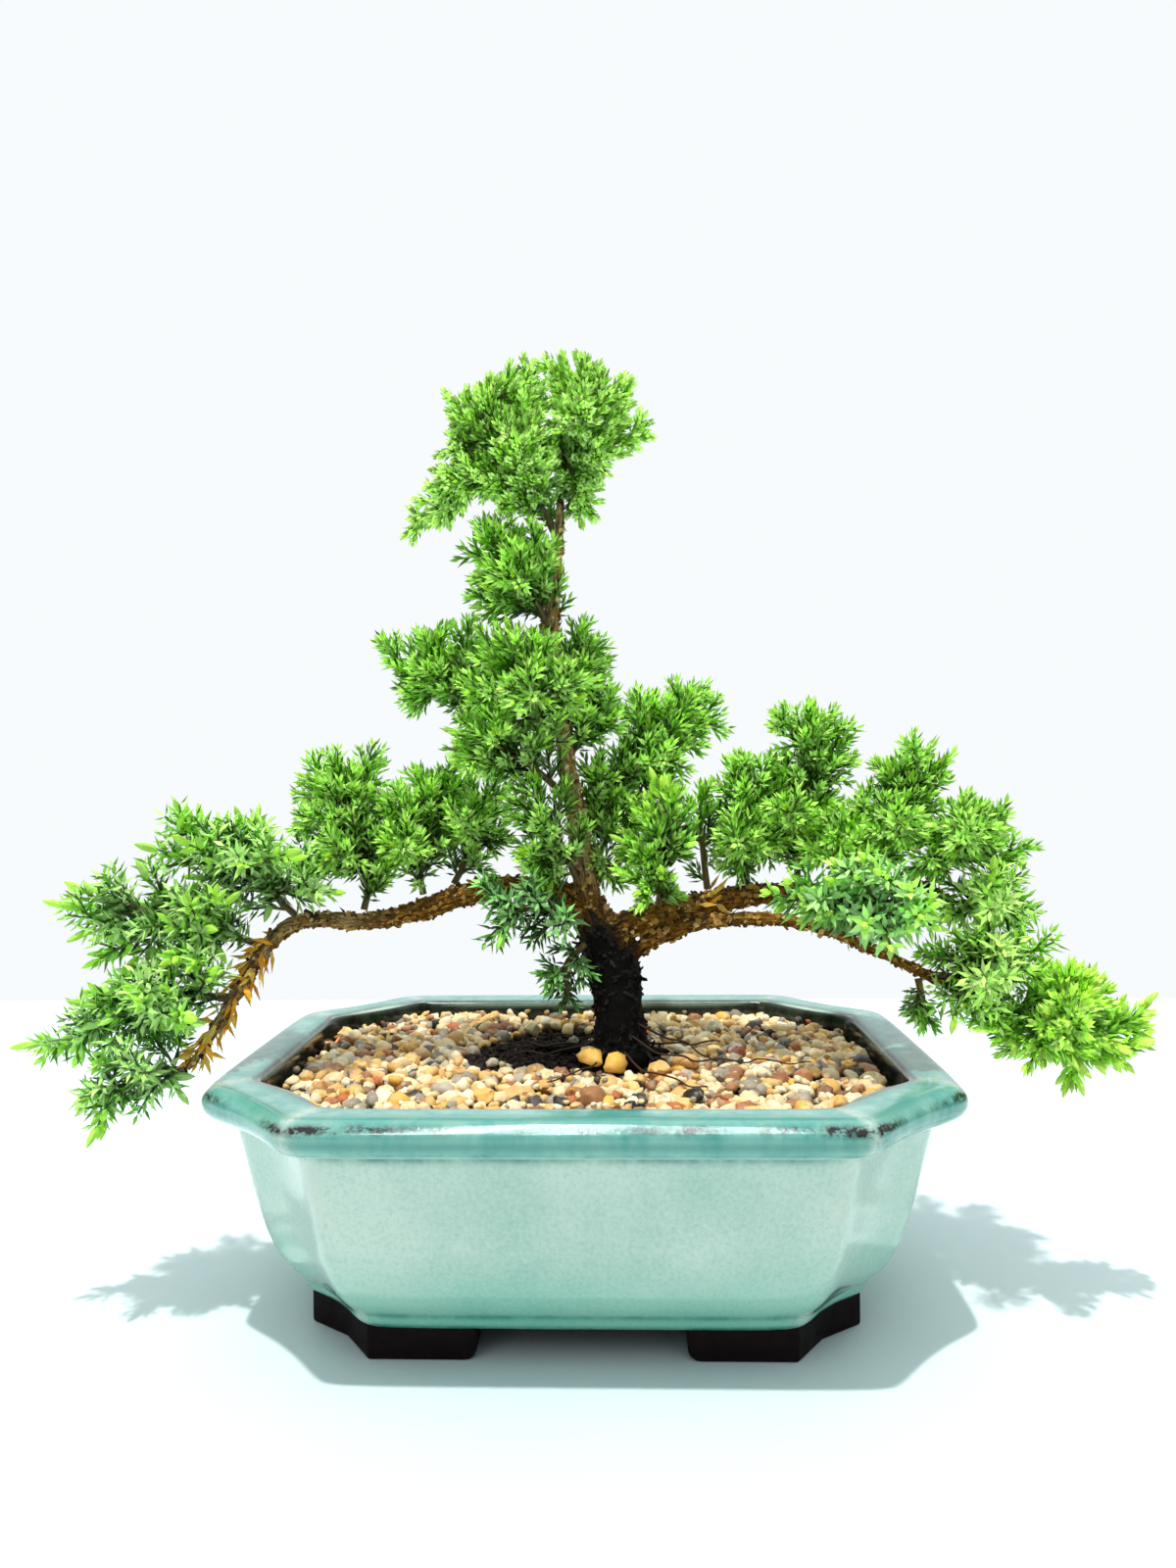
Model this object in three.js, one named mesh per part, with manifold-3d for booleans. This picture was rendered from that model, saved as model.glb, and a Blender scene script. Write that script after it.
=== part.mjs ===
// Flaky juniper bonsai in a glazed rectangular pot with cut corners.
// Millimetres, +Z up, +X to the right of the front view, -Y towards the front.
// The origin lies on the table under the middle of the pot.
import * as THREE from 'three';
import { mergeVertices } from 'three/addons/utils/BufferGeometryUtils.js';
import Module from 'manifold-3d';

const kit = await Module();
kit.setup();
const { Manifold, Mesh: SolidMesh } = kit;

// Driving dimensions of the pot
const POT_LENGTH = 198;
const POT_WIDTH = 151;
const POT_HEIGHT = 69;
const CORNER_CUT = 30;
const CUT_SHRINK = 0.42;
const CORNER_HOLLOW = 2.4;
const CORNER_STEPS = 3;
const FOOT_HEIGHT = 8;
const FOOT_RUN_FRONT = 28;
const FOOT_RUN_SIDE = 18;
const FOOT_DEPTH = 9;
const FOOT_INSET = 24.2;
const FOOT_ROUND = 1.2;
const FOOT_SUNK = 2;
const FLOOR_TOP = 15;
const HOLE_RADIUS = 8;
const HOLE_SPACING = 76;

// Driving dimensions of the filling
const GAP = 0.3;
const SLIVER = 0.01;
const SOIL_TOP = 59.5;
const GRAVEL_BOTTOM = 59.8;
const GRAVEL_VALLEY = 62.0;
const GRAVEL_CREST = 64.6;
const GRAVEL_INSET = 13.4;
const GRAVEL_COLLAR = 11.2;
const PEBBLE_PITCH = 10.2;
const CREST_SPREAD = 1.3;
const VALLEY_SPREAD = 0.8;
const CREST_SLIDE = 0.8;
const VALLEY_SLIDE = 1.3;
const PEAT_TOP = 63.4;
const PEAT = { x: -8, y: 5, rx: 30, ry: 20, sunk: 2, room: 0.5, sides: 14 };
const PEAT_CROWN = { x: -6, y: 4, rx: 22, ry: 14, sunk: 1, rise: 0.5, sides: 12 };
const SOCKET_DEPTH = 2.5;
const SCREEN_SIDE = 24;
const SCREEN_THICK = 1;
const SCREEN_BAR = 3;
const HOLE_CUT = { bottom: 2, top: 20 };
const GRAVEL_CUT = { bottom: 50, top: 80 };
const SOCKET_CUT_TOP = 89.5;

// Driving dimensions of the tree
const TRUNK_X = 10;
const TRUNK_Y = -5;
const TRUNK_FOOT = 46;
const TRUNK_RADIUS = 8.4;
const TRUNK_ROUGHNESS = 0.12;
const LIMB_ROUGHNESS = 0.24;
const SOCKET_SIDES = 16;
const CORE_RADIUS = 0.75;
const CORE_TIP_RADIUS = 0.55;
const CORE_BASE_RADIUS = 0.45;
const TWIG_RADIUS = 1.15;
const TWIG_TAPER = 0.3;
const TWIG_END = 1.2;
const TWIG_ROOM = 0.45;
const STUB_LENGTH = 1.6;
const STUB_RADIUS = 0.6;
const SHOOT_SPACING = 3;
const SHOOT_ANGLE = (42 * Math.PI) / 180;
const SHOOT_BEND = 0.45;
const TIP_SHARE = 0.7;
const WHORL_PITCH = 4.8;
const WHORL_THICK = 1.6;
const NEEDLED_RUN = 15.6;
const WHORL_TURN = (35 * Math.PI) / 180;
const NEEDLE_RADIUS = 0.62;
const NEEDLE_LEAN = 0.95;
const NEEDLE_LEAN_SPREAD = 0.4;
const NEEDLE_TRIES = [1, 0.75, 0.55];
const NEEDLE_ROOM = 0.45;
const NEEDLE_ROOM_OWN = 0.05;

const COLOURS = {
  glaze: 0xa5d7c8,
  gravel: 0xc9b08c,
  soil: 0x1d1813,
  screen: 0x20242a,
  bark: 0x7a5434,
  leaf: 0x3f8f35,
  paleLeaf: 0x6aae55,
  blueLeaf: 0x4c9a5e,
  youngLeaf: 0x6fc12f,
};

// Pot profile from the foot ring up over the rim and down the inside: [inset, height]
const POT_OUTSIDE = [
  [24.0, FOOT_HEIGHT], [23.2, 8.9], [21.6, 10.4], [21.0, 12.4], [20.2, 13.7], [17.4, 16.8],
  [14.6, 21.5], [12.4, 27.5], [10.4, 35.0], [8.6, 43.5], [6.7, 53.5], [5.4, 58.2],
  [2.0, 59.0], [-0.9, 61.0], [-2.2, 63.8], [-1.8, 66.6], [-0.4, 68.3], [1.8, POT_HEIGHT],
];
const POT_INSIDE = [
  [10.2, POT_HEIGHT], [11.6, 68.0], [12.2, 65.5], [13.0, 58.0], [17.5, 35.0], [21.0, 22.0],
  [27.0, 15.8], [31.0, FLOOR_TOP],
];

// Tree limbs: centre line with a radius at each point, [x, y, z, radius]
const TRUNK = [
  [TRUNK_X, TRUNK_Y, TRUNK_FOOT, TRUNK_RADIUS], [TRUNK_X, TRUNK_Y, 64, TRUNK_RADIUS],
  [10.4, -4.8, 66, 9.2], [10.2, -4.4, 69, 8.3], [10.2, -4, 76, 7.7], [9.6, -2.6, 83, 7.5],
  [8.6, -0.6, 90, 8.2], [6.6, 0, 97, 7.9], [3.8, 0, 104, 6.6], [1.4, 0, 111, 4.6],
];
const STEM = [
  [3.4, 0, 104, 4.8], [0.9, 0, 113, 4.0], [0.1, 0, 120.4, 3.6], [-1.4, 0.4, 130, 3.3], [-2.8, 0, 139, 3.0],
  [-4.9, -0.3, 151, 2.8], [-6.3, 0, 166, 2.4], [-8.5, 0.3, 182.5, 2.1], [-9.4, 0, 191, 2.2],
  [-9.7, 0, 195.5, 3.0], [-9.2, 0, 199.5, 2.3], [-7.9, 0, 213, 1.9], [-7.1, 0.4, 224, 1.7],
  [-6.3, 1, 232, 1.3],
];
const LEFT_LIMB = [
  [5, 0, 104, 4.4], [-3, 0.2, 112.2, 4.0], [-11, 0, 115.3, 3.5], [-22.8, -0.2, 116.1, 3.3],
  [-34.7, 0, 114.4, 3.3], [-46.6, -0.5, 110.3, 3.3], [-56.5, -3, 107.8, 2.8], [-66.4, -5, 106.6, 2.6],
  [-77.6, -7, 107.4, 2.4], [-85.6, -10, 106.6, 2.4], [-91.9, -13, 101.5, 2.2],
  [-96.4, -17, 94.1, 2.1], [-100.6, -22, 85.3, 1.9], [-105.6, -27, 75.3, 1.5], [-109.6, -30.4, 69, 1.1],
];
const RIGHT_LIMB = [
  [6, 0, 101.5, 4.8], [18.6, 1, 106.4, 4.1], [30.5, 3, 109.0, 3.8], [42.6, 5, 111.4, 3.6],
  [54.7, 7, 112.9, 3.1], [67, 9, 113.2, 2.8], [79, 9, 113.7, 2.5], [91, 8, 115.3, 2.1],
  [103, 4, 114.6, 1.8], [109.6, -2, 110, 1.4],
];
const LOWER_LIMB = [
  [9, -1, 91, 2.6], [13.6, -1, 95.4, 2.3], [19.9, -1.6, 99.8, 2.2], [30.1, -3, 104.0, 2.1],
  [41.6, -5, 106.4, 2.0], [52.8, -8, 107.2, 2.0], [63.7, -11, 106.0, 1.8], [71.7, -13, 103.8, 1.7],
  [82.6, -14, 99.2, 1.6], [93.5, -15, 94, 1.5], [106, -17, 88, 1.3], [115, -18, 84.6, 1.1],
];
const ROOTS = [
  [[10, -5, 70, 3.2], [1, -1, 67.4, 2.2], [-8, 3, 66.2, 1.5], [-15, 8, 66, 0.9]],
  [[10, -5, 70, 3.0], [8, 5, 67.2, 2.0], [4, 14, 66.1, 1.1]],
  [[10, -5, 70, 2.8], [19, -5, 67.6, 1.8], [25, -2, 67, 0.8]],
  [[10, -5, 70, 2.6], [2, -10, 67.4, 1.6], [-5, -13, 66.8, 0.9]],
];

// Foliage: each spray has a twig that leaves the wood, and shoots that end at the listed points
const SPRAYS = {
  apex_left: {
    colour: 'paleLeaf', needle: 4.0,
    twig: [[-8, 0, 222], [-14, -3, 234], [-21, -4, 244], [-29, -3, 253]],
    tips: [[-41, -2, 265], [-44, -14, 237], [-25, 9, 271], [-55, 3, 224], [-16, -26, 245],
      [-37, 22, 257], [-19, 2, 274]],
  },
  apex_right: {
    colour: 'paleLeaf', needle: 4.0,
    twig: [[-6.4, 1, 232], [-5, 3, 241], [-1, 2, 254]],
    tips: [[3, 0, 278], [-11, -7, 276], [14, -3, 268], [22, 6, 256], [7, -9, 240], [-1, -26, 249],
      [6, 24, 268], [4, 1, 230]],
  },
  crown_under: {
    colour: 'leaf', needle: 4.0,
    twig: [[-10, 0, 193], [-13, -4, 200], [-18, -6, 208]],
    tips: [[-35, -4, 219], [-28, 6, 228], [-36, 0, 202], [-15, -11, 221], [-20, -24, 208],
      [-22, 20, 217]],
  },
  shelf_left: {
    colour: 'leaf', needle: 4.4,
    twig: [[-10, 2, 163], [-23, 6, 167], [-35, 8, 173], [-44, 8, 178]],
    tips: [[-66, 6, 192], [-60, 11, 171], [-47, 4, 197], [-38, 13, 202], [-50, -8, 184]],
  },
  shelf_centre: {
    colour: 'leaf', needle: 5.0,
    twig: [[-9, -4, 157], [-13, -9, 169], [-15, -13, 176]],
    tips: [[-22, -14, 194], [-32, -11, 190], [-12, -19, 192], [-35, -22, 175], [2, -26, 180],
      [-13, -34, 172]],
  },
  shelf_right: {
    colour: 'leaf', needle: 4.8,
    twig: [[-8, 4, 171], [-5, 8, 181]],
    tips: [[-1, 8, 198], [7, 13, 191], [8, 0, 181]],
  },
  skirt_left: {
    colour: 'leaf', needle: 5.0,
    twig: [[-8, -3, 146], [-16, -9, 153], [-24, -11, 157]],
    tips: [[-43, -8, 165], [-38, -19, 153], [-26, -23, 167], [-42, 6, 155]],
  },
  skirt_right: {
    colour: 'leaf', needle: 5.4,
    twig: [[-5, 3, 153], [-1, 6, 164]],
    tips: [[7, 4, 179], [13, -6, 170], [1, 20, 174]],
  },
  fan_right: {
    colour: 'leaf', needle: 5.4,
    twig: [[-1, 4, 133], [6, 8, 142], [15, 10, 151], [24, 10, 161]],
    tips: [[36, 8, 181], [46, 14, 167], [15, 5, 178], [4, 2, 158], [32, -7, 156], [29, 24, 172]],
  },
  waist_left: {
    colour: 'leaf', needle: 4.8,
    twig: [[-2, -4, 118], [-7, -9, 130], [-11, -11, 139]],
    tips: [[-18, -11, 153], [-23, -15, 139], [-19, -20, 124], [-15, -13, 113]],
  },
  waist_right: {
    colour: 'leaf', needle: 4.8,
    twig: [[3, 4, 117], [5, 6, 127], [9, 6, 135]],
    tips: [[14, -1, 147], [-1, 18, 143], [21, 12, 136]],
  },
  pad_outer: {
    colour: 'leaf', needle: 5.0,
    twig: [[-66, -5, 110], [-65, -4, 117], [-68, -4, 127], [-71, -4, 137]],
    tips: [[-76, -4, 160], [-89, 2, 153], [-87, -10, 139], [-63, 8, 159], [-73, -26, 129],
      [-79, 22, 141]],
  },
  pad_inner: {
    colour: 'leaf', needle: 5.0,
    twig: [[-49, 0, 114], [-50, 0, 121], [-48, 2, 129], [-47, 2, 137]],
    tips: [[-52, 0, 155], [-42, 11, 155], [-60, -8, 148], [-54, -24, 133], [-46, 24, 137]],
  },
  pad_right: {
    colour: 'leaf', needle: 5.0,
    twig: [[-40, 2, 117], [-37, 4, 123], [-34, 6, 132]],
    tips: [[-29, 6, 152], [-22, 9, 134], [-25, -3, 122], [-33, -17, 142]],
  },
  left_top: {
    colour: 'blueLeaf', needle: 6.2,
    twig: [[-85, -10, 109], [-94, -12, 118], [-103, -15, 125]],
    tips: [[-119, -22, 145], [-126, -26, 132], [-99, -6, 144], [-70, -16, 132], [-109, -14, 140],
      [-77, -36, 131], [-112, 12, 127], [-66, -22, 118]],
  },
  left_middle: {
    colour: 'blueLeaf', needle: 6.6,
    twig: [[-94, -15, 101], [-105, -18, 106], [-118, -22, 110], [-129, -24, 114]],
    tips: [[-147, -26, 120], [-142, -36, 106], [-115, -43, 100], [-108, -42, 119], [-135, 2, 109],
      [-146, -14, 96]],
  },
  left_lower: {
    colour: 'blueLeaf', needle: 6.6,
    twig: [[-101, -23, 87], [-111, -26, 89], [-123, -28, 85], [-135, -29, 80]],
    tips: [[-158, -30, 75], [-139, -32, 91], [-123, -48, 95], [-99, -41, 100], [-103, -46, 84],
      [-131, -8, 79]],
  },
  left_tip: {
    colour: 'blueLeaf', needle: 6.0,
    twig: [[-110, -31, 69], [-118, -32, 69], [-126, -33, 66]],
    tips: [[-134, -36, 51], [-144, -26, 61], [-108, -38, 59], [-116, -49, 73]],
  },
  front_left: {
    colour: 'blueLeaf', needle: 5.8,
    twig: [[-1, -8, 107], [-10, -14, 111], [-18, -18, 112]],
    tips: [[-31, -25, 111], [-24, -14, 117], [-26, -29, 101], [-19, -16, 98]],
  },
  front_hanging: {
    colour: 'leaf', needle: 5.2,
    twig: [[0, -9, 100], [-5, -14, 95], [-5, -14, 88]],
    tips: [[0, -13, 79], [-16, -20, 92], [5, -18, 89]],
  },
  front_plume: {
    colour: 'youngLeaf', needle: 5.6,
    twig: [[22, -4, 111], [23, -9, 120], [24, -11, 131]],
    tips: [[25, -11, 150], [12, -14, 134], [33, -17, 132], [14, -24, 117], [20, 8, 131]],
  },
  thin_shoot: {
    colour: 'leaf', needle: 4.6,
    twig: [[37, 3, 115], [36, 1, 123], [35, 0, 133]],
    tips: [[35, 0, 151], [43, 2, 139]],
  },
  plume_left: {
    colour: 'leaf', needle: 5.0,
    twig: [[49, 7, 116], [50, 8, 125], [51, 8, 136]],
    tips: [[50, 6, 159], [42, 0, 152], [41, 12, 145], [43, -18, 132], [58, 26, 136]],
  },
  plume_right: {
    colour: 'leaf', needle: 5.2,
    twig: [[65, 9, 116], [66, 10, 128], [68, 10, 143], [70, 10, 154]],
    tips: [[71, 8, 174], [57, 6, 172], [81, 12, 168], [86, 10, 157], [58, -14, 143], [80, 30, 139]],
  },
  crest_inner: {
    colour: 'leaf', needle: 5.4,
    twig: [[87, 9, 117], [90, 6, 128], [96, 4, 140]],
    tips: [[101, 2, 162], [92, 10, 156], [110, 0, 155], [81, -6, 146], [90, -28, 137], [106, 31, 143]],
  },
  crest_outer: {
    colour: 'leaf', needle: 5.6,
    twig: [[104, 5, 117], [109, 0, 126], [113, -4, 133]],
    tips: [[118, -6, 144], [134, 0, 124], [126, -12, 134], [104, -34, 132], [121, 28, 129]],
  },
  shoulder: {
    colour: 'leaf', needle: 5.6,
    twig: [[110, -4, 109], [116, -8, 112]],
    tips: [[134, -10, 113], [110, -37, 113], [131, 14, 103], [116, -24, 121]],
  },
  front_stars: {
    colour: 'blueLeaf', needle: 6.0,
    twig: [[71, -14, 105], [78, -22, 109], [86, -28, 112]],
    tips: [[65, -34, 113], [75, -46, 110], [83, -46, 102], [88, -45, 122], [98, -42, 108]],
  },
  crest_low: {
    colour: 'leaf', needle: 5.2,
    twig: [[76, 10, 115], [78, 6, 122]],
    tips: [[72, -16, 134], [80, -22, 126], [83, 19, 135], [64, -20, 126]],
  },
  right_inner: {
    colour: 'leaf', needle: 5.8,
    twig: [[99, -16, 92], [108, -18, 92], [114, -20, 95]],
    tips: [[126, -20, 106], [135, -14, 101], [104, -27, 76], [117, -31, 76], [105, -46, 92],
      [124, 8, 88]],
  },
  right_tip: {
    colour: 'youngLeaf', needle: 5.8,
    twig: [[116, -18, 84], [127, -19, 81], [138, -20, 79]],
    tips: [[159.5, -20, 79], [149, -14, 91], [141, -22, 59], [153, -26, 66], [142, -26, 94],
      [125, -34, 68], [127, -46, 84]],
  },
  hanging_right: {
    colour: 'leaf', needle: 4.6,
    twig: [[95, -16, 91], [96, -17, 85]],
    tips: [[101, -18, 73], [88, -21, 79]],
  },
};

// Vector helpers on THREE.Vector3
const vec = (p) => new THREE.Vector3(p[0], p[1], p[2]);
const mix = (a, b, t) => a.clone().lerp(b, t);
const along = (origin, direction, length) => origin.clone().addScaledVector(direction, length);

// A repeatable number from -0.5 to 0.5 for each count
function wobble(count) {
  const value = Math.sin(count * 12.9898 + 4.1414) * 43758.5453;
  return value - Math.floor(value) - 0.5;
}

// A closed body from points and faces
function solid(points, faces) {
  const vertProperties = new Float32Array(points.flatMap((p) => [p.x, p.y, p.z]));
  const triVerts = new Uint32Array(faces.flat());
  return new Manifold(new SolidMesh({ numProp: 3, vertProperties, triVerts }));
}

// The same from a three.js shape once its shared points are merged
function fromGeometry(geometry) {
  geometry.deleteAttribute('normal');
  geometry.deleteAttribute('uv');
  const merged = mergeVertices(geometry, 1e-4);
  const vertProperties = new Float32Array(merged.attributes.position.array);
  const triVerts = new Uint32Array(merged.index.array);
  return new Manifold(new SolidMesh({ numProp: 3, vertProperties, triVerts }));
}

// Joins rings of equal count into a skin; spikeFor may raise a point out of one side of a ring pair
function skin(rings, startPoint, endPoint, spikeFor = () => null) {
  const count = rings[0].length;
  const points = rings.flat();
  const faces = [];
  const add = (point) => points.push(point) - 1;
  for (let ring = 0; ring + 1 < rings.length; ring += 1) {
    for (let side = 0; side < count; side += 1) {
      const next = (side + 1) % count;
      const a = ring * count + side;
      const b = ring * count + next;
      const c = b + count;
      const d = a + count;
      const spike = spikeFor(ring, side);
      if (spike) {
        const tip = add(spike);
        faces.push([a, b, tip], [b, c, tip], [c, d, tip], [d, a, tip]);
      } else {
        faces.push([a, b, c], [a, c, d]);
      }
    }
  }
  const start = add(startPoint);
  const end = add(endPoint);
  const last = (rings.length - 1) * count;
  for (let side = 0; side < count; side += 1) {
    const next = (side + 1) % count;
    faces.push([start, next, side], [end, last + side, last + next]);
  }
  return solid(points, faces);
}

// Directions across a path that turn as little as possible from one point to the next
function frames(path) {
  const result = [];
  let across = null;
  path.forEach((point, index) => {
    const before = path[Math.max(index - 1, 0)];
    const after = path[Math.min(index + 1, path.length - 1)];
    const forward = after.clone().sub(before).normalize();
    if (!across) {
      const helper = Math.abs(forward.z) > 0.8 ? new THREE.Vector3(1, 0, 0) : new THREE.Vector3(0, 0, 1);
      across = helper.cross(forward).normalize();
    }
    across = along(across, forward, -across.dot(forward)).normalize();
    result.push({ point, forward, across, up: forward.clone().cross(across) });
  });
  return result;
}

function ringAt(frame, radius, sides, turn, rough = 0, seed = 0) {
  return Array.from({ length: sides }, (_, side) => {
    const angle = turn + (side * 2 * Math.PI) / sides;
    const reach = radius * (1 + rough * wobble(seed + side * 7.31));
    const out = along(frame.across.clone().multiplyScalar(Math.cos(angle)), frame.up, Math.sin(angle));
    return along(frame.point, out, reach);
  });
}

// Corner-cut plan of the pot at one inset from the top outer edge
function potPlan(inset, height) {
  const halfX = POT_LENGTH / 2 - inset;
  const halfY = POT_WIDTH / 2 - inset;
  const cut = CORNER_CUT - CUT_SHRINK * inset;
  const points = [];
  const corners = [[1, -1], [1, 1], [-1, 1], [-1, -1]];
  corners.forEach(([sx, sy], corner) => {
    const sideEnd = new THREE.Vector3(sx * halfX, sy * (halfY - cut), height);
    const frontEnd = new THREE.Vector3(sx * (halfX - cut), sy * halfY, height);
    const [from, to] = corner % 2 === 0 ? [frontEnd, sideEnd] : [sideEnd, frontEnd];
    for (let step = 0; step <= CORNER_STEPS; step += 1) {
      const t = step / CORNER_STEPS;
      const inward = CORNER_HOLLOW * 4 * t * (1 - t) * Math.SQRT1_2;
      points.push(mix(from, to, t).add(new THREE.Vector3(-sx * inward, -sy * inward, 0)));
    }
  });
  return points;
}

// A closed upright block between plans given as [inset, height] from bottom to top
function planBlock(profile) {
  const rings = profile.map(([inset, height]) => potPlan(inset, height));
  const bottom = new THREE.Vector3(0, 0, profile[0][1]);
  const top = new THREE.Vector3(0, 0, profile[profile.length - 1][1]);
  return skin(rings, bottom, top);
}

// An upright prism with an oval plan
function ovalBlock(x, y, rx, ry, bottom, top, sides) {
  const ring = (height) => Array.from({ length: sides }, (_, side) => {
    const angle = (side * 2 * Math.PI) / sides;
    return new THREE.Vector3(x + rx * Math.cos(angle), y + ry * Math.sin(angle), height);
  });
  return skin([ring(bottom), ring(top)], new THREE.Vector3(x, y, bottom), new THREE.Vector3(x, y, top));
}

function box(x, y, z, sizeX, sizeY, sizeZ) {
  const half = [sizeX / 2, sizeY / 2];
  const ring = (height) => [[-1, -1], [1, -1], [1, 1], [-1, 1]].map(
    ([sx, sy]) => new THREE.Vector3(x + sx * half[0], y + sy * half[1], height),
  );
  const middle = (height) => new THREE.Vector3(x, y, height);
  return skin([ring(z), ring(z + sizeZ)], middle(z), middle(z + sizeZ));
}

// One foot that wraps a corner; sx and sy choose the corner
function buildFoot(sx, sy) {
  const halfX = POT_LENGTH / 2 - FOOT_INSET;
  const halfY = POT_WIDTH / 2 - FOOT_INSET;
  const cut = CORNER_CUT - CUT_SHRINK * FOOT_INSET;
  const endX = halfX - cut - FOOT_RUN_FRONT;
  const endY = halfY - cut - FOOT_RUN_SIDE;
  const bend = cut / 2 + CORNER_HOLLOW * Math.SQRT1_2;
  const innerBend = bend + FOOT_DEPTH * 0.75;
  const innerCut = cut + FOOT_DEPTH * 0.3;
  const loop = [
    [endX, halfY], [halfX - cut, halfY], [halfX - bend, halfY - bend], [halfX, halfY - cut],
    [halfX, endY], [halfX - FOOT_DEPTH, endY], [halfX - FOOT_DEPTH, halfY - innerCut],
    [halfX - innerBend, halfY - innerBend], [halfX - innerCut, halfY - FOOT_DEPTH],
    [endX, halfY - FOOT_DEPTH],
  ];
  const shape = new THREE.Shape(loop.map(([x, y]) => new THREE.Vector2(sx * x, sy * y)));
  const geometry = new THREE.ExtrudeGeometry(shape, {
    depth: FOOT_HEIGHT + FOOT_SUNK - 2 * FOOT_ROUND,
    bevelEnabled: true,
    bevelThickness: FOOT_ROUND,
    bevelSize: FOOT_ROUND,
    bevelOffset: -FOOT_ROUND,
    bevelSegments: 2,
  });
  geometry.translate(0, 0, FOOT_ROUND);
  return fromGeometry(geometry);
}

function buildPot() {
  const bowl = planBlock(POT_OUTSIDE.concat(POT_INSIDE));
  const feet = [[1, 1], [1, -1], [-1, 1], [-1, -1]].map(([sx, sy]) => buildFoot(sx, sy));
  const holes = [-1, 1].map((side) => ovalBlock(
    (side * HOLE_SPACING) / 2, 0, HOLE_RADIUS, HOLE_RADIUS, HOLE_CUT.bottom, HOLE_CUT.top, 16,
  ));
  return Manifold.union([bowl, ...feet]).subtract(Manifold.union(holes));
}

function buildScreen(side) {
  const x = (side * HOLE_SPACING) / 2;
  const floor = FLOOR_TOP + GAP;
  const openings = [];
  const cell = SCREEN_SIDE / 2;
  for (const column of [-0.5, 0.5]) {
    for (const row of [-0.5, 0.5]) {
      const [middleX, middleY] = [x + column * cell, row * cell];
      const width = cell - SCREEN_BAR;
      openings.push(box(middleX, middleY, floor - SCREEN_THICK, width, width, 3 * SCREEN_THICK));
    }
  }
  const sheet = box(x, 0, floor, SCREEN_SIDE, SCREEN_SIDE, SCREEN_THICK);
  return sheet.subtract(Manifold.union(openings));
}

function buildSoil() {
  const bulk = planBlock([
    [31.4, FLOOR_TOP + GAP], [27.4, 16.2], [21.5, 22.3], [18.0, 35.0], [13.5, SOIL_TOP],
  ]);
  const peat = ovalBlock(PEAT.x, PEAT.y, PEAT.rx, PEAT.ry, SOIL_TOP - PEAT.sunk, PEAT_TOP, PEAT.sides);
  const crown = ovalBlock(
    PEAT_CROWN.x, PEAT_CROWN.y, PEAT_CROWN.rx, PEAT_CROWN.ry,
    PEAT_TOP - PEAT_CROWN.sunk, PEAT_TOP + PEAT_CROWN.rise, PEAT_CROWN.sides,
  );
  const pockets = [-1, 1].map((side) => box(
    (side * HOLE_SPACING) / 2, 0, FLOOR_TOP - 1, SCREEN_SIDE + 2 * GAP, SCREEN_SIDE + 2 * GAP,
    1 + GAP + SCREEN_THICK + GAP,
  ));
  const trunkReach = TRUNK_RADIUS * (1 + TRUNK_ROUGHNESS / 2) + GAP;
  const socketRadius = trunkReach / Math.cos(Math.PI / SOCKET_SIDES);
  const socketFloor = TRUNK_FOOT - SOCKET_DEPTH;
  const socket = ovalBlock(
    TRUNK_X, TRUNK_Y, socketRadius, socketRadius, socketFloor, SOCKET_CUT_TOP, SOCKET_SIDES,
  );
  return Manifold.union([bulk, peat, crown]).subtract(Manifold.union([...pockets, socket]));
}

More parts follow.
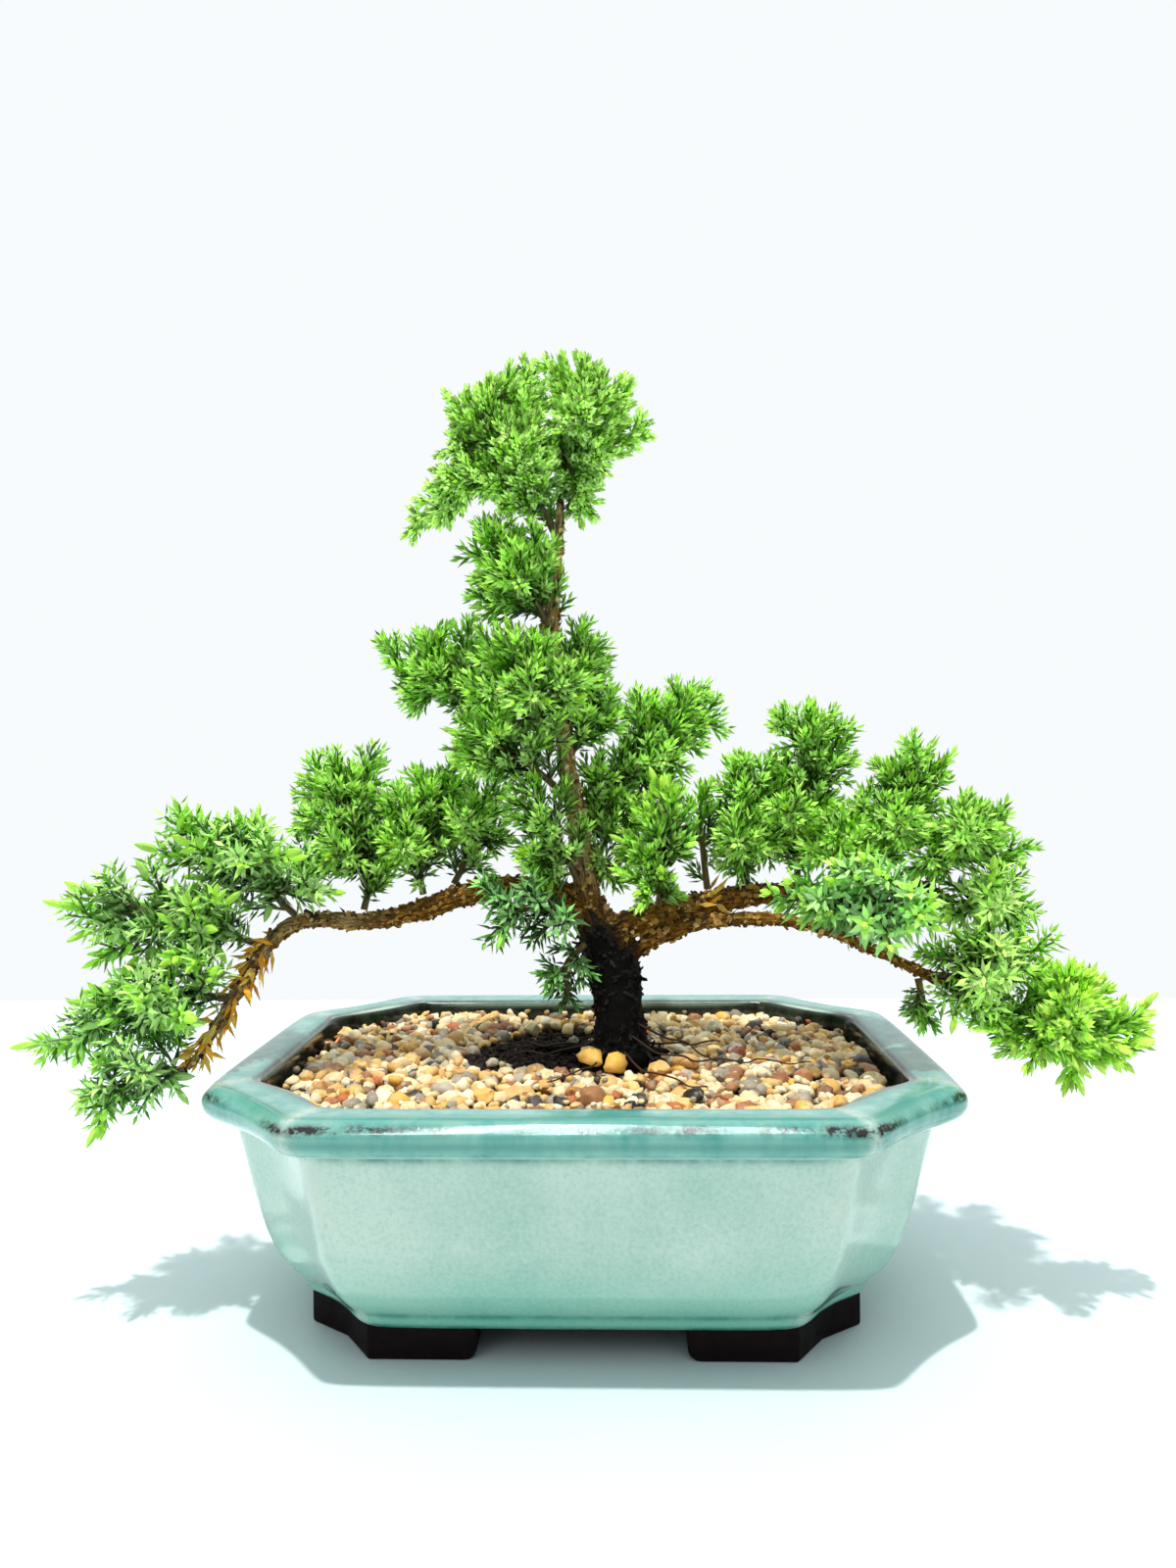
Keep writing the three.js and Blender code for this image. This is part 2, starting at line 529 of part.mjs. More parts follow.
// Gravel: a sheet of low six-sided stones that fills the pot up to the walls
function buildGravel() {
  const edge = PEBBLE_PITCH / Math.sqrt(3);
  const rise = (edge * Math.sqrt(3)) / 2;
  const rows = Math.ceil(POT_WIDTH / 2 / rise);
  const columns = Math.ceil(POT_LENGTH / 2 / edge) + 1;
  const points = [];
  const index = new Map();
  for (let row = -rows; row <= rows; row += 1) {
    for (let column = -columns; column <= columns; column += 1) {
      const shift = Math.abs(row % 2) / 2;
      const isCrest = (column - Math.floor(row / 2) - row) % 3 === 0;
      const count = points.length;
      const slide = isCrest ? CREST_SLIDE : VALLEY_SLIDE;
      const height = isCrest
        ? GRAVEL_CREST + CREST_SPREAD * wobble(count)
        : GRAVEL_VALLEY + VALLEY_SPREAD * wobble(count + 0.5);
      index.set(`${row},${column}`, count);
      points.push(new THREE.Vector3(
        (column + shift) * edge + slide * wobble(count + 0.2),
        row * rise + slide * wobble(count + 0.7),
        height,
      ));
    }
  }
  const faces = [];
  const at = (row, column) => index.get(`${row},${column}`);
  for (let row = -rows; row < rows; row += 1) {
    for (let column = -columns; column < columns; column += 1) {
      const [a, b] = [at(row, column), at(row, column + 1)];
      const [c, d] = [at(row + 1, column), at(row + 1, column + 1)];
      if (row % 2 === 0) faces.push([a, b, c], [b, d, c]);
      else faces.push([a, b, d], [a, d, c]);
    }
  }
  const rim = [];
  for (let column = -columns; column < columns; column += 1) rim.push(at(-rows, column));
  for (let row = -rows; row < rows; row += 1) rim.push(at(row, columns));
  for (let column = columns; column > -columns; column -= 1) rim.push(at(rows, column));
  for (let row = rows; row > -rows; row -= 1) rim.push(at(row, -columns));
  const base = points.length;
  rim.forEach((top) => points.push(points[top].clone().setZ(GRAVEL_BOTTOM)));
  const middle = points.push(new THREE.Vector3(0, 0, GRAVEL_BOTTOM)) - 1;
  rim.forEach((top, place) => {
    const next = (place + 1) % rim.length;
    faces.push([top, base + place, base + next], [top, base + next, rim[next]]);
    faces.push([middle, base + next, base + place]);
  });
  const stones = solid(points, faces);
  const { bottom, top } = GRAVEL_CUT;
  const outline = planBlock([[GRAVEL_INSET, GRAVEL_BOTTOM - 1], [GRAVEL_INSET, GRAVEL_CREST + 4]]);
  const peat = ovalBlock(PEAT.x, PEAT.y, PEAT.rx + PEAT.room, PEAT.ry + PEAT.room, bottom, top, PEAT.sides);
  const collar = ovalBlock(TRUNK_X, TRUNK_Y, GRAVEL_COLLAR, GRAVEL_COLLAR, bottom, top, PEAT.sides);
  return stones.intersect(outline).subtract(Manifold.union([peat, collar]));
}

// Records the room that wood and shoots already take, as tapered rods
const rods = [];
function addRod(from, to, startRadius, endRadius, owner, member) {
  rods.push({ from, to, startRadius, endRadius, owner, member });
}

// Shortest room between two tapered rods, measured between their skins
function rodRoom(a, b) {
  const d1 = a.to.clone().sub(a.from);
  const d2 = b.to.clone().sub(b.from);
  const r = a.from.clone().sub(b.from);
  const [aa, ee, ff] = [d1.dot(d1), d2.dot(d2), d2.dot(r)];
  const [cc, bb] = [d1.dot(r), d1.dot(d2)];
  const clamp = (value) => Math.min(Math.max(value, 0), 1);
  const denominator = aa * ee - bb * bb;
  let s = denominator > 1e-9 ? clamp((bb * ff - cc * ee) / denominator) : 0;
  let t = clamp((bb * s + ff) / ee);
  s = clamp((bb * t - cc) / aa);
  t = clamp((bb * s + ff) / ee);
  const gap = along(a.from, d1, s).distanceTo(along(b.from, d2, t));
  const radiusA = a.startRadius + (a.endRadius - a.startRadius) * s;
  const radiusB = b.startRadius + (b.endRadius - b.startRadius) * t;
  return gap - radiusA - radiusB;
}

function isClear(rod, wanted, skip) {
  const reach = rod.from.distanceTo(rod.to) + rod.startRadius + 8;
  return rods.every((other) => {
    if (skip(other)) return true;
    const span = other.from.distanceTo(other.to) + other.startRadius;
    if (rod.from.distanceTo(other.from) > reach + span) return true;
    return rodRoom(rod, other) > wanted(other);
  });
}

// A rough-barked limb along [x, y, z, radius] points, with stubs of old leaves on some sides
function limb(points, sides, rough, seed, stubEvery = 0) {
  const path = points.map(vec);
  const list = frames(path);
  const rings = list.map((frame, index) => ringAt(
    frame, points[index][3], sides, 0.4 * index, rough, seed + index * 3.7,
  ));
  const start = along(path[0], list[0].forward, -0.2 * points[0][3]);
  const end = along(path[path.length - 1], list[list.length - 1].forward, points[points.length - 1][3]);
  path.slice(1).forEach((point, index) => {
    const swell = 1 + rough / 2;
    addRod(path[index], point, points[index][3] * swell, points[index + 1][3] * swell, 'wood', 'limb');
  });
  return skin(rings, start, end, (ring, side) => {
    if (!stubEvery || (ring * sides + side * 3) % stubEvery !== 1 || ring < 1) return null;
    const middle = mix(mix(rings[ring][side], rings[ring][(side + 1) % sides], 0.5),
      mix(rings[ring + 1][side], rings[ring + 1][(side + 1) % sides], 0.5), 0.5);
    const centre = mix(path[ring], path[ring + 1], 0.5);
    const out = along(middle.clone().sub(centre).normalize(), list[ring].forward, 0.5).normalize();
    const stub = along(middle, out, STUB_LENGTH + wobble(seed + ring + side));
    addRod(middle, stub, STUB_RADIUS, 0.1, 'wood', 'stub');
    return stub;
  });
}

function buildWood() {
  const parts = [
    limb(TRUNK, 10, TRUNK_ROUGHNESS, 1),
    limb(STEM, 7, LIMB_ROUGHNESS, 2, 9),
    limb(LEFT_LIMB, 7, LIMB_ROUGHNESS, 3, 9),
    limb(RIGHT_LIMB, 7, LIMB_ROUGHNESS, 4, 9),
    limb(LOWER_LIMB, 6, LIMB_ROUGHNESS, 5, 9),
    ...ROOTS.map((root, index) => limb(root, 5, 0.2, 6 + index)),
  ];
  return Manifold.union(parts);
}

// A bent path from a start to an end that first follows the given direction
function bentPath(start, heading, end, count) {
  const length = start.distanceTo(end);
  const bend = along(start, heading, length * SHOOT_BEND);
  return Array.from({ length: count + 1 }, (_, step) => {
    const t = step / count;
    return mix(mix(start, bend, t), mix(bend, end, t), t);
  });
}

// Where a shoot leaves its twig: about 42 degrees off it, and apart from the shoots before
function leavingPlace(twig, tip, used) {
  let best = null;
  const steps = 8;
  for (let span = 0; span + 1 < twig.length; span += 1) {
    for (let step = span === 0 ? 3 : 0; step <= steps; step += 1) {
      const place = mix(twig[span], twig[span + 1], step / steps);
      const heading = twig[span + 1].clone().sub(twig[span]).normalize();
      const way = tip.clone().sub(place);
      const near = used.map((other) => Math.max(0, 1 - other.distanceTo(place) / SHOOT_SPACING));
      const crowd = near.reduce((sum, value) => sum + value, 0);
      const score = Math.abs(heading.angleTo(way) - SHOOT_ANGLE) + way.length() * 0.012 + crowd * 1.5;
      if (!best || score < best.score) best = { place, heading, score };
    }
  }
  return best;
}

// A twig starts just clear of the wood, as near to its listed first point as it can
function clearStart(twig) {
  const step = 0.2;
  const start = twig[0].clone();
  const heading = twig[1].clone().sub(twig[0]).normalize();
  const away = { from: start, startRadius: TWIG_RADIUS, endRadius: TWIG_RADIUS };
  const limit = Math.floor(twig[0].distanceTo(twig[1]) / step) - 4;
  for (let count = 0; count < limit; count += 1) {
    const rod = { ...away, to: along(start, heading, 0.5) };
    if (isClear(rod, () => TWIG_ROOM, (other) => other.owner !== 'wood')) return start;
    start.addScaledVector(heading, step);
  }
  return start;
}

// Plans the twig and shoots of every spray before any needle grows
function planSprays() {
  return Object.entries(SPRAYS).map(([name, spray]) => {
    const twig = spray.twig.map(vec);
    twig[0] = clearStart(twig);
    twig.slice(1).forEach((point, index) => {
      addRod(twig[index], point, TWIG_RADIUS, TWIG_RADIUS, name, 'twig');
    });
    const used = [];
    const shoots = spray.tips.map(vec).map((tip, number) => {
      const { place, heading } = leavingPlace(twig, tip, used);
      used.push(place);
      const reach = place.distanceTo(tip);
      const end = mix(place, tip, (reach - spray.needle * TIP_SHARE) / reach);
      const path = bentPath(place, heading, end, 8);
      const member = `shoot${number}`;
      path.slice(1).forEach((point, index) => {
        addRod(path[index], point, CORE_RADIUS, CORE_RADIUS, name, member);
      });
      return { path, tip, member };
    });
    return { name, spray, twig, shoots };
  });
}

// Points at equal steps from the tip end of a path backwards
function pointOnPath(path, fromEnd) {
  let left = fromEnd;
  for (let index = path.length - 1; index > 0; index -= 1) {
    const span = path[index].distanceTo(path[index - 1]);
    if (left <= span) return mix(path[index], path[index - 1], left / span);
    left -= span;
  }
  return path[0].clone();
}

function pathLength(path) {
  return path.slice(1).reduce((sum, point, index) => sum + point.distanceTo(path[index]), 0);
}

// One shoot: a slim three-sided core with whorls of three needles along its outer run
function buildShoot(shoot, name, needle, seed) {
  const length = pathLength(shoot.path);
  const whorls = Math.max(2, Math.floor((Math.min(length, NEEDLED_RUN) - 1) / WHORL_PITCH));
  const stations = [length];
  for (let whorl = whorls - 1; whorl >= 0; whorl -= 1) {
    const inner = whorl * WHORL_PITCH + WHORL_THICK;
    if (inner < length - 0.8) stations.push(inner);
    stations.push(whorl * WHORL_PITCH);
  }
  const path = stations.map((fromEnd) => pointOnPath(shoot.path, fromEnd));
  const list = frames(path);
  const rings = list.map((frame, index) => {
    const radius = index === 0 ? CORE_BASE_RADIUS : CORE_RADIUS;
    return ringAt(frame, index === list.length - 1 ? CORE_TIP_RADIUS : radius, 3, seed + index * WHORL_TURN);
  });
  const needled = (ring) => (path.length - 2 - ring) % 2 === 0;
  const spikes = new Map();
  rings.slice(1).forEach((_, ring) => {
    if (!needled(ring)) return;
    for (let side = 0; side < 3; side += 1) {
      const next = (side + 1) % 3;
      const corners = [rings[ring][side], rings[ring][next], rings[ring + 1][side], rings[ring + 1][next]];
      const foot = corners.reduce((sum, p) => sum.add(p), new THREE.Vector3()).multiplyScalar(0.25);
      const centre = mix(path[ring], path[ring + 1], 0.5);
      const out = foot.clone().sub(centre).normalize();
      const lean = NEEDLE_LEAN + NEEDLE_LEAN_SPREAD * wobble(seed * 31 + ring * 3 + side);
      const way = along(out, list[ring].forward, lean).normalize();
      for (const part of NEEDLE_TRIES) {
        const tip = along(foot, way, needle * part);
        const rod = { from: along(foot, way, 0.4), to: tip, startRadius: NEEDLE_RADIUS, endRadius: 0.05 };
        const skip = (other) => other.owner === name && other.member === shoot.member;
        const wanted = (other) => (other.owner === name ? NEEDLE_ROOM_OWN : NEEDLE_ROOM);
        if (isClear(rod, wanted, skip)) {
          addRod(rod.from, rod.to, rod.startRadius, rod.endRadius, name, shoot.member);
          spikes.set(`${ring},${side}`, tip);
          break;
        }
      }
    }
  });
  const lastForward = list[list.length - 1].forward;
  const end = along(path[path.length - 1], lastForward, needle * TIP_SHARE);
  const start = along(path[0], list[0].forward, -0.3);
  return skin(rings, start, end, (ring, side) => spikes.get(`${ring},${side}`) || null);
}

function buildSpray({ name, spray, twig, shoots }, number) {
  const list = frames(twig);
  const rings = list.map((frame, index) => {
    const radius = TWIG_RADIUS * (1 - (TWIG_TAPER * index) / (list.length - 1));
    return ringAt(frame, radius, 4, 0.5);
  });
  const end = along(twig[twig.length - 1], list[list.length - 1].forward, TWIG_END);
  const core = skin(rings, twig[0].clone(), end);
  const parts = shoots.map(
    (shoot, index) => buildShoot(shoot, name, spray.needle, number * 1.7 + index * 2.3),
  );
  return Manifold.union([core, ...parts]).simplify(SLIVER);
}

// A named mesh with its own material from a closed body
function node(name, body, colour, roughness) {
  const { vertProperties, triVerts, numProp } = body.getMesh();
  const positions = new Float32Array(triVerts.length * 3);
  triVerts.forEach((vertex, corner) => {
    for (let axis = 0; axis < 3; axis += 1) {
      positions[corner * 3 + axis] = vertProperties[vertex * numProp + axis];
    }
  });
  const geometry = new THREE.BufferGeometry();
  geometry.setAttribute('position', new THREE.BufferAttribute(positions, 3));
  geometry.computeVertexNormals();
  const material = new THREE.MeshStandardMaterial({ color: colour, roughness, metalness: 0 });
  const mesh = new THREE.Mesh(geometry, material);
  mesh.name = name;
  return mesh;
}

const bonsai = new THREE.Group();
bonsai.name = 'flaky_juniper_bonsai';
bonsai.add(node('pot', buildPot(), COLOURS.glaze, 0.2));
bonsai.add(node('drainage_screen_left', buildScreen(-1), COLOURS.screen, 0.7));
bonsai.add(node('drainage_screen_right', buildScreen(1), COLOURS.screen, 0.7));
bonsai.add(node('soil', buildSoil(), COLOURS.soil, 0.95));
bonsai.add(node('gravel', buildGravel(), COLOURS.gravel, 0.85));
bonsai.add(node('wood', buildWood(), COLOURS.bark, 0.9));
planSprays().forEach((plan, number) => {
  const body = buildSpray(plan, number);
  bonsai.add(node(`spray_${plan.name}`, body, COLOURS[plan.spray.colour], 0.6));
});

export default bonsai;
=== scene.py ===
# A flaky juniper bonsai in a celadon pot. Metres, +Z up, -Y towards the front of the pot.
# Lists of places below are in millimetres, and MM turns them into metres.
import math

import bmesh
import bpy
import numpy as np
from mathutils import Matrix, Vector, noise
from mathutils.kdtree import KDTree


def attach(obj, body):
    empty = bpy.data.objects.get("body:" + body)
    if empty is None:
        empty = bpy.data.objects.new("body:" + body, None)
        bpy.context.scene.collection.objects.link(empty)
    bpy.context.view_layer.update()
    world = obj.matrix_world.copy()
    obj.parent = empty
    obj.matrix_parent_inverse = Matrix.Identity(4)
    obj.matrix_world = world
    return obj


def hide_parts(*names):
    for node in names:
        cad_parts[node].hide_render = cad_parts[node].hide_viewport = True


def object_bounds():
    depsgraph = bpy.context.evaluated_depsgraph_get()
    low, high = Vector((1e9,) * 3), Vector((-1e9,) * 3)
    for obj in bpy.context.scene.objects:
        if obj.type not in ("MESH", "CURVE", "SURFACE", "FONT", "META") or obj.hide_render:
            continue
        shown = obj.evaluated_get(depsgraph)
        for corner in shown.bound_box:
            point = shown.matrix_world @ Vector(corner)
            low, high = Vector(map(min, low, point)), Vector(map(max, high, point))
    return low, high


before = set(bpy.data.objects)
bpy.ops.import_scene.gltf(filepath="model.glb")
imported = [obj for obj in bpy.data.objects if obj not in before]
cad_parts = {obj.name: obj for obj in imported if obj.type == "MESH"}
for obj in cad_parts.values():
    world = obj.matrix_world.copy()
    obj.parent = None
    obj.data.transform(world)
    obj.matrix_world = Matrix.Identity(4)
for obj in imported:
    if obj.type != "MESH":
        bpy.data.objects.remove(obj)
cad_low, cad_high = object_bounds()

MM = 0.001
GOLDEN_ANGLE = math.radians(137.5)

# Pot: plan and profile as in the solids, [inset, height]
POT_LENGTH, POT_WIDTH = 198, 151
CORNER_CUT, CUT_SHRINK, CORNER_HOLLOW = 30, 0.42, 2.4
EDGE_SOFTNESS = 2.4
POT_PROFILE = [
    (50, 8), (30, 8), (24, 8), (23.2, 8.9), (21.6, 10.4), (21, 12.4), (20.2, 13.7), (17.4, 16.8),
    (14.6, 21.5), (12.4, 27.5), (10.4, 35), (8.6, 43.5), (6.7, 53.5), (5.5, 57.9), (4.9, 58.6), (2, 59),
    (-0.9, 61), (-2.2, 63.6), (-2, 65.9), (-1.2, 66.8), (-0.4, 67.7), (0.5, 68.5), (2, 69), (6, 69),
    (10.2, 69), (11.6, 68), (12.2, 65.5), (13, 58), (17.5, 35), (21, 22), (27, 15.8), (31, 15), (50, 15),
]
HOLE_RADIUS, HOLE_SPACING = 8, 76
FOOT_HEIGHT, FOOT_DEPTH, FOOT_INSET, FOOT_OVERLAP = 8, 9, 24.2, 1.6
FOOT_RUN_FRONT, FOOT_RUN_SIDE = 28, 18

# Filling
GRAVEL_INSET = 14.2
GRAVEL_LEVEL = 62.3
PEAT_MIDDLE, PEAT_REACH, PEAT_FOOT, PEAT_TOP = (-8, 5), (30, 20), 59.8, 63.9
# Flat stones in front of the trunk: place and span
DISC_STONES = [(2, -15, 68.4, 8.0), (9, -17, 67.0, 7.4), (29, -13, 66.6, 7.6), (21, -21, 66.4, 7.0)]

# Wood: centre lines with a radius at each point, as in the solids
TRUNK = [
    (10, -5, 46, 8.4), (10, -5, 64, 8.4), (10.4, -4.8, 66, 9.2), (10.2, -4.4, 69, 8.3),
    (10.2, -4, 76, 7.7), (9.6, -2.6, 83, 7.5), (8.6, -0.6, 90, 8.2), (6.6, 0, 97, 7.9),
    (3.8, 0, 104, 6.6), (1.4, 0, 111, 4.6),
]
STEM = [
    (3.4, 0, 104, 4.8), (0.9, 0, 113, 4), (0.1, 0, 120.4, 3.6), (-1.4, 0.4, 130, 3.3),
    (-2.8, 0, 139, 3), (-4.9, -0.3, 151, 2.8), (-6.3, 0, 166, 2.4), (-8.5, 0.3, 182.5, 2.1),
    (-9.4, 0, 191, 2.2), (-9.7, 0, 195.5, 3), (-9.2, 0, 199.5, 2.3), (-7.9, 0, 213, 1.9),
    (-7.1, 0.4, 224, 1.7), (-6.3, 1, 232, 1.3),
]
LEFT_LIMB = [
    (5, 0, 104, 4.4), (-3, 0.2, 112.2, 4), (-11, 0, 115.3, 3.5), (-22.8, -0.2, 116.1, 3.3),
    (-34.7, 0, 114.4, 3.3), (-46.6, -0.5, 110.3, 3.3), (-56.5, -3, 107.8, 2.8),
    (-66.4, -5, 106.6, 2.6), (-77.6, -7, 107.4, 2.4), (-85.6, -10, 106.6, 2.4),
    (-91.9, -13, 101.5, 2.2), (-96.4, -17, 94.1, 2.1), (-100.6, -22, 85.3, 1.9),
    (-105.6, -27, 75.3, 1.5), (-109.6, -30.4, 69, 1.1),
]
RIGHT_LIMB = [
    (6, 0, 101.5, 4.8), (18.6, 1, 106.4, 4.1), (30.5, 3, 109, 3.8), (42.6, 5, 111.4, 3.6),
    (54.7, 7, 112.9, 3.1), (67, 9, 113.2, 2.8), (79, 9, 113.7, 2.5), (91, 8, 115.3, 2.1),
    (103, 4, 114.6, 1.8), (109.6, -2, 110, 1.4),
]
LOWER_LIMB = [
    (9, -1, 91, 2.6), (13.6, -1, 95.4, 2.3), (19.9, -1.6, 99.8, 2.2), (30.1, -3, 104, 2.1),
    (41.6, -5, 106.4, 2), (52.8, -8, 107.2, 2), (63.7, -11, 106, 1.8), (71.7, -13, 103.8, 1.7),
    (82.6, -14, 99.2, 1.6), (93.5, -15, 94, 1.5), (106, -17, 88, 1.3), (115, -18, 84.6, 1.1),
]
ROOTS = [
    [(10, -5, 70, 3.2), (1, -1, 67.4, 2.2), (-8, 3, 66.2, 1.5), (-15, 8, 66, 0.9)],
    [(10, -5, 70, 3), (8, 5, 67.2, 2), (4, 14, 66.1, 1.1)],
    [(10, -5, 70, 2.8), (19, -5, 67.6, 1.8), (25, -2, 67, 0.8)],
    [(10, -5, 70, 2.6), (2, -10, 67.4, 1.6), (-5, -13, 66.8, 0.9)],
]

# Height up to which the trunk's foot is painted black, as painted shade below the limbs
SHADED_FOOT_TOP = 113

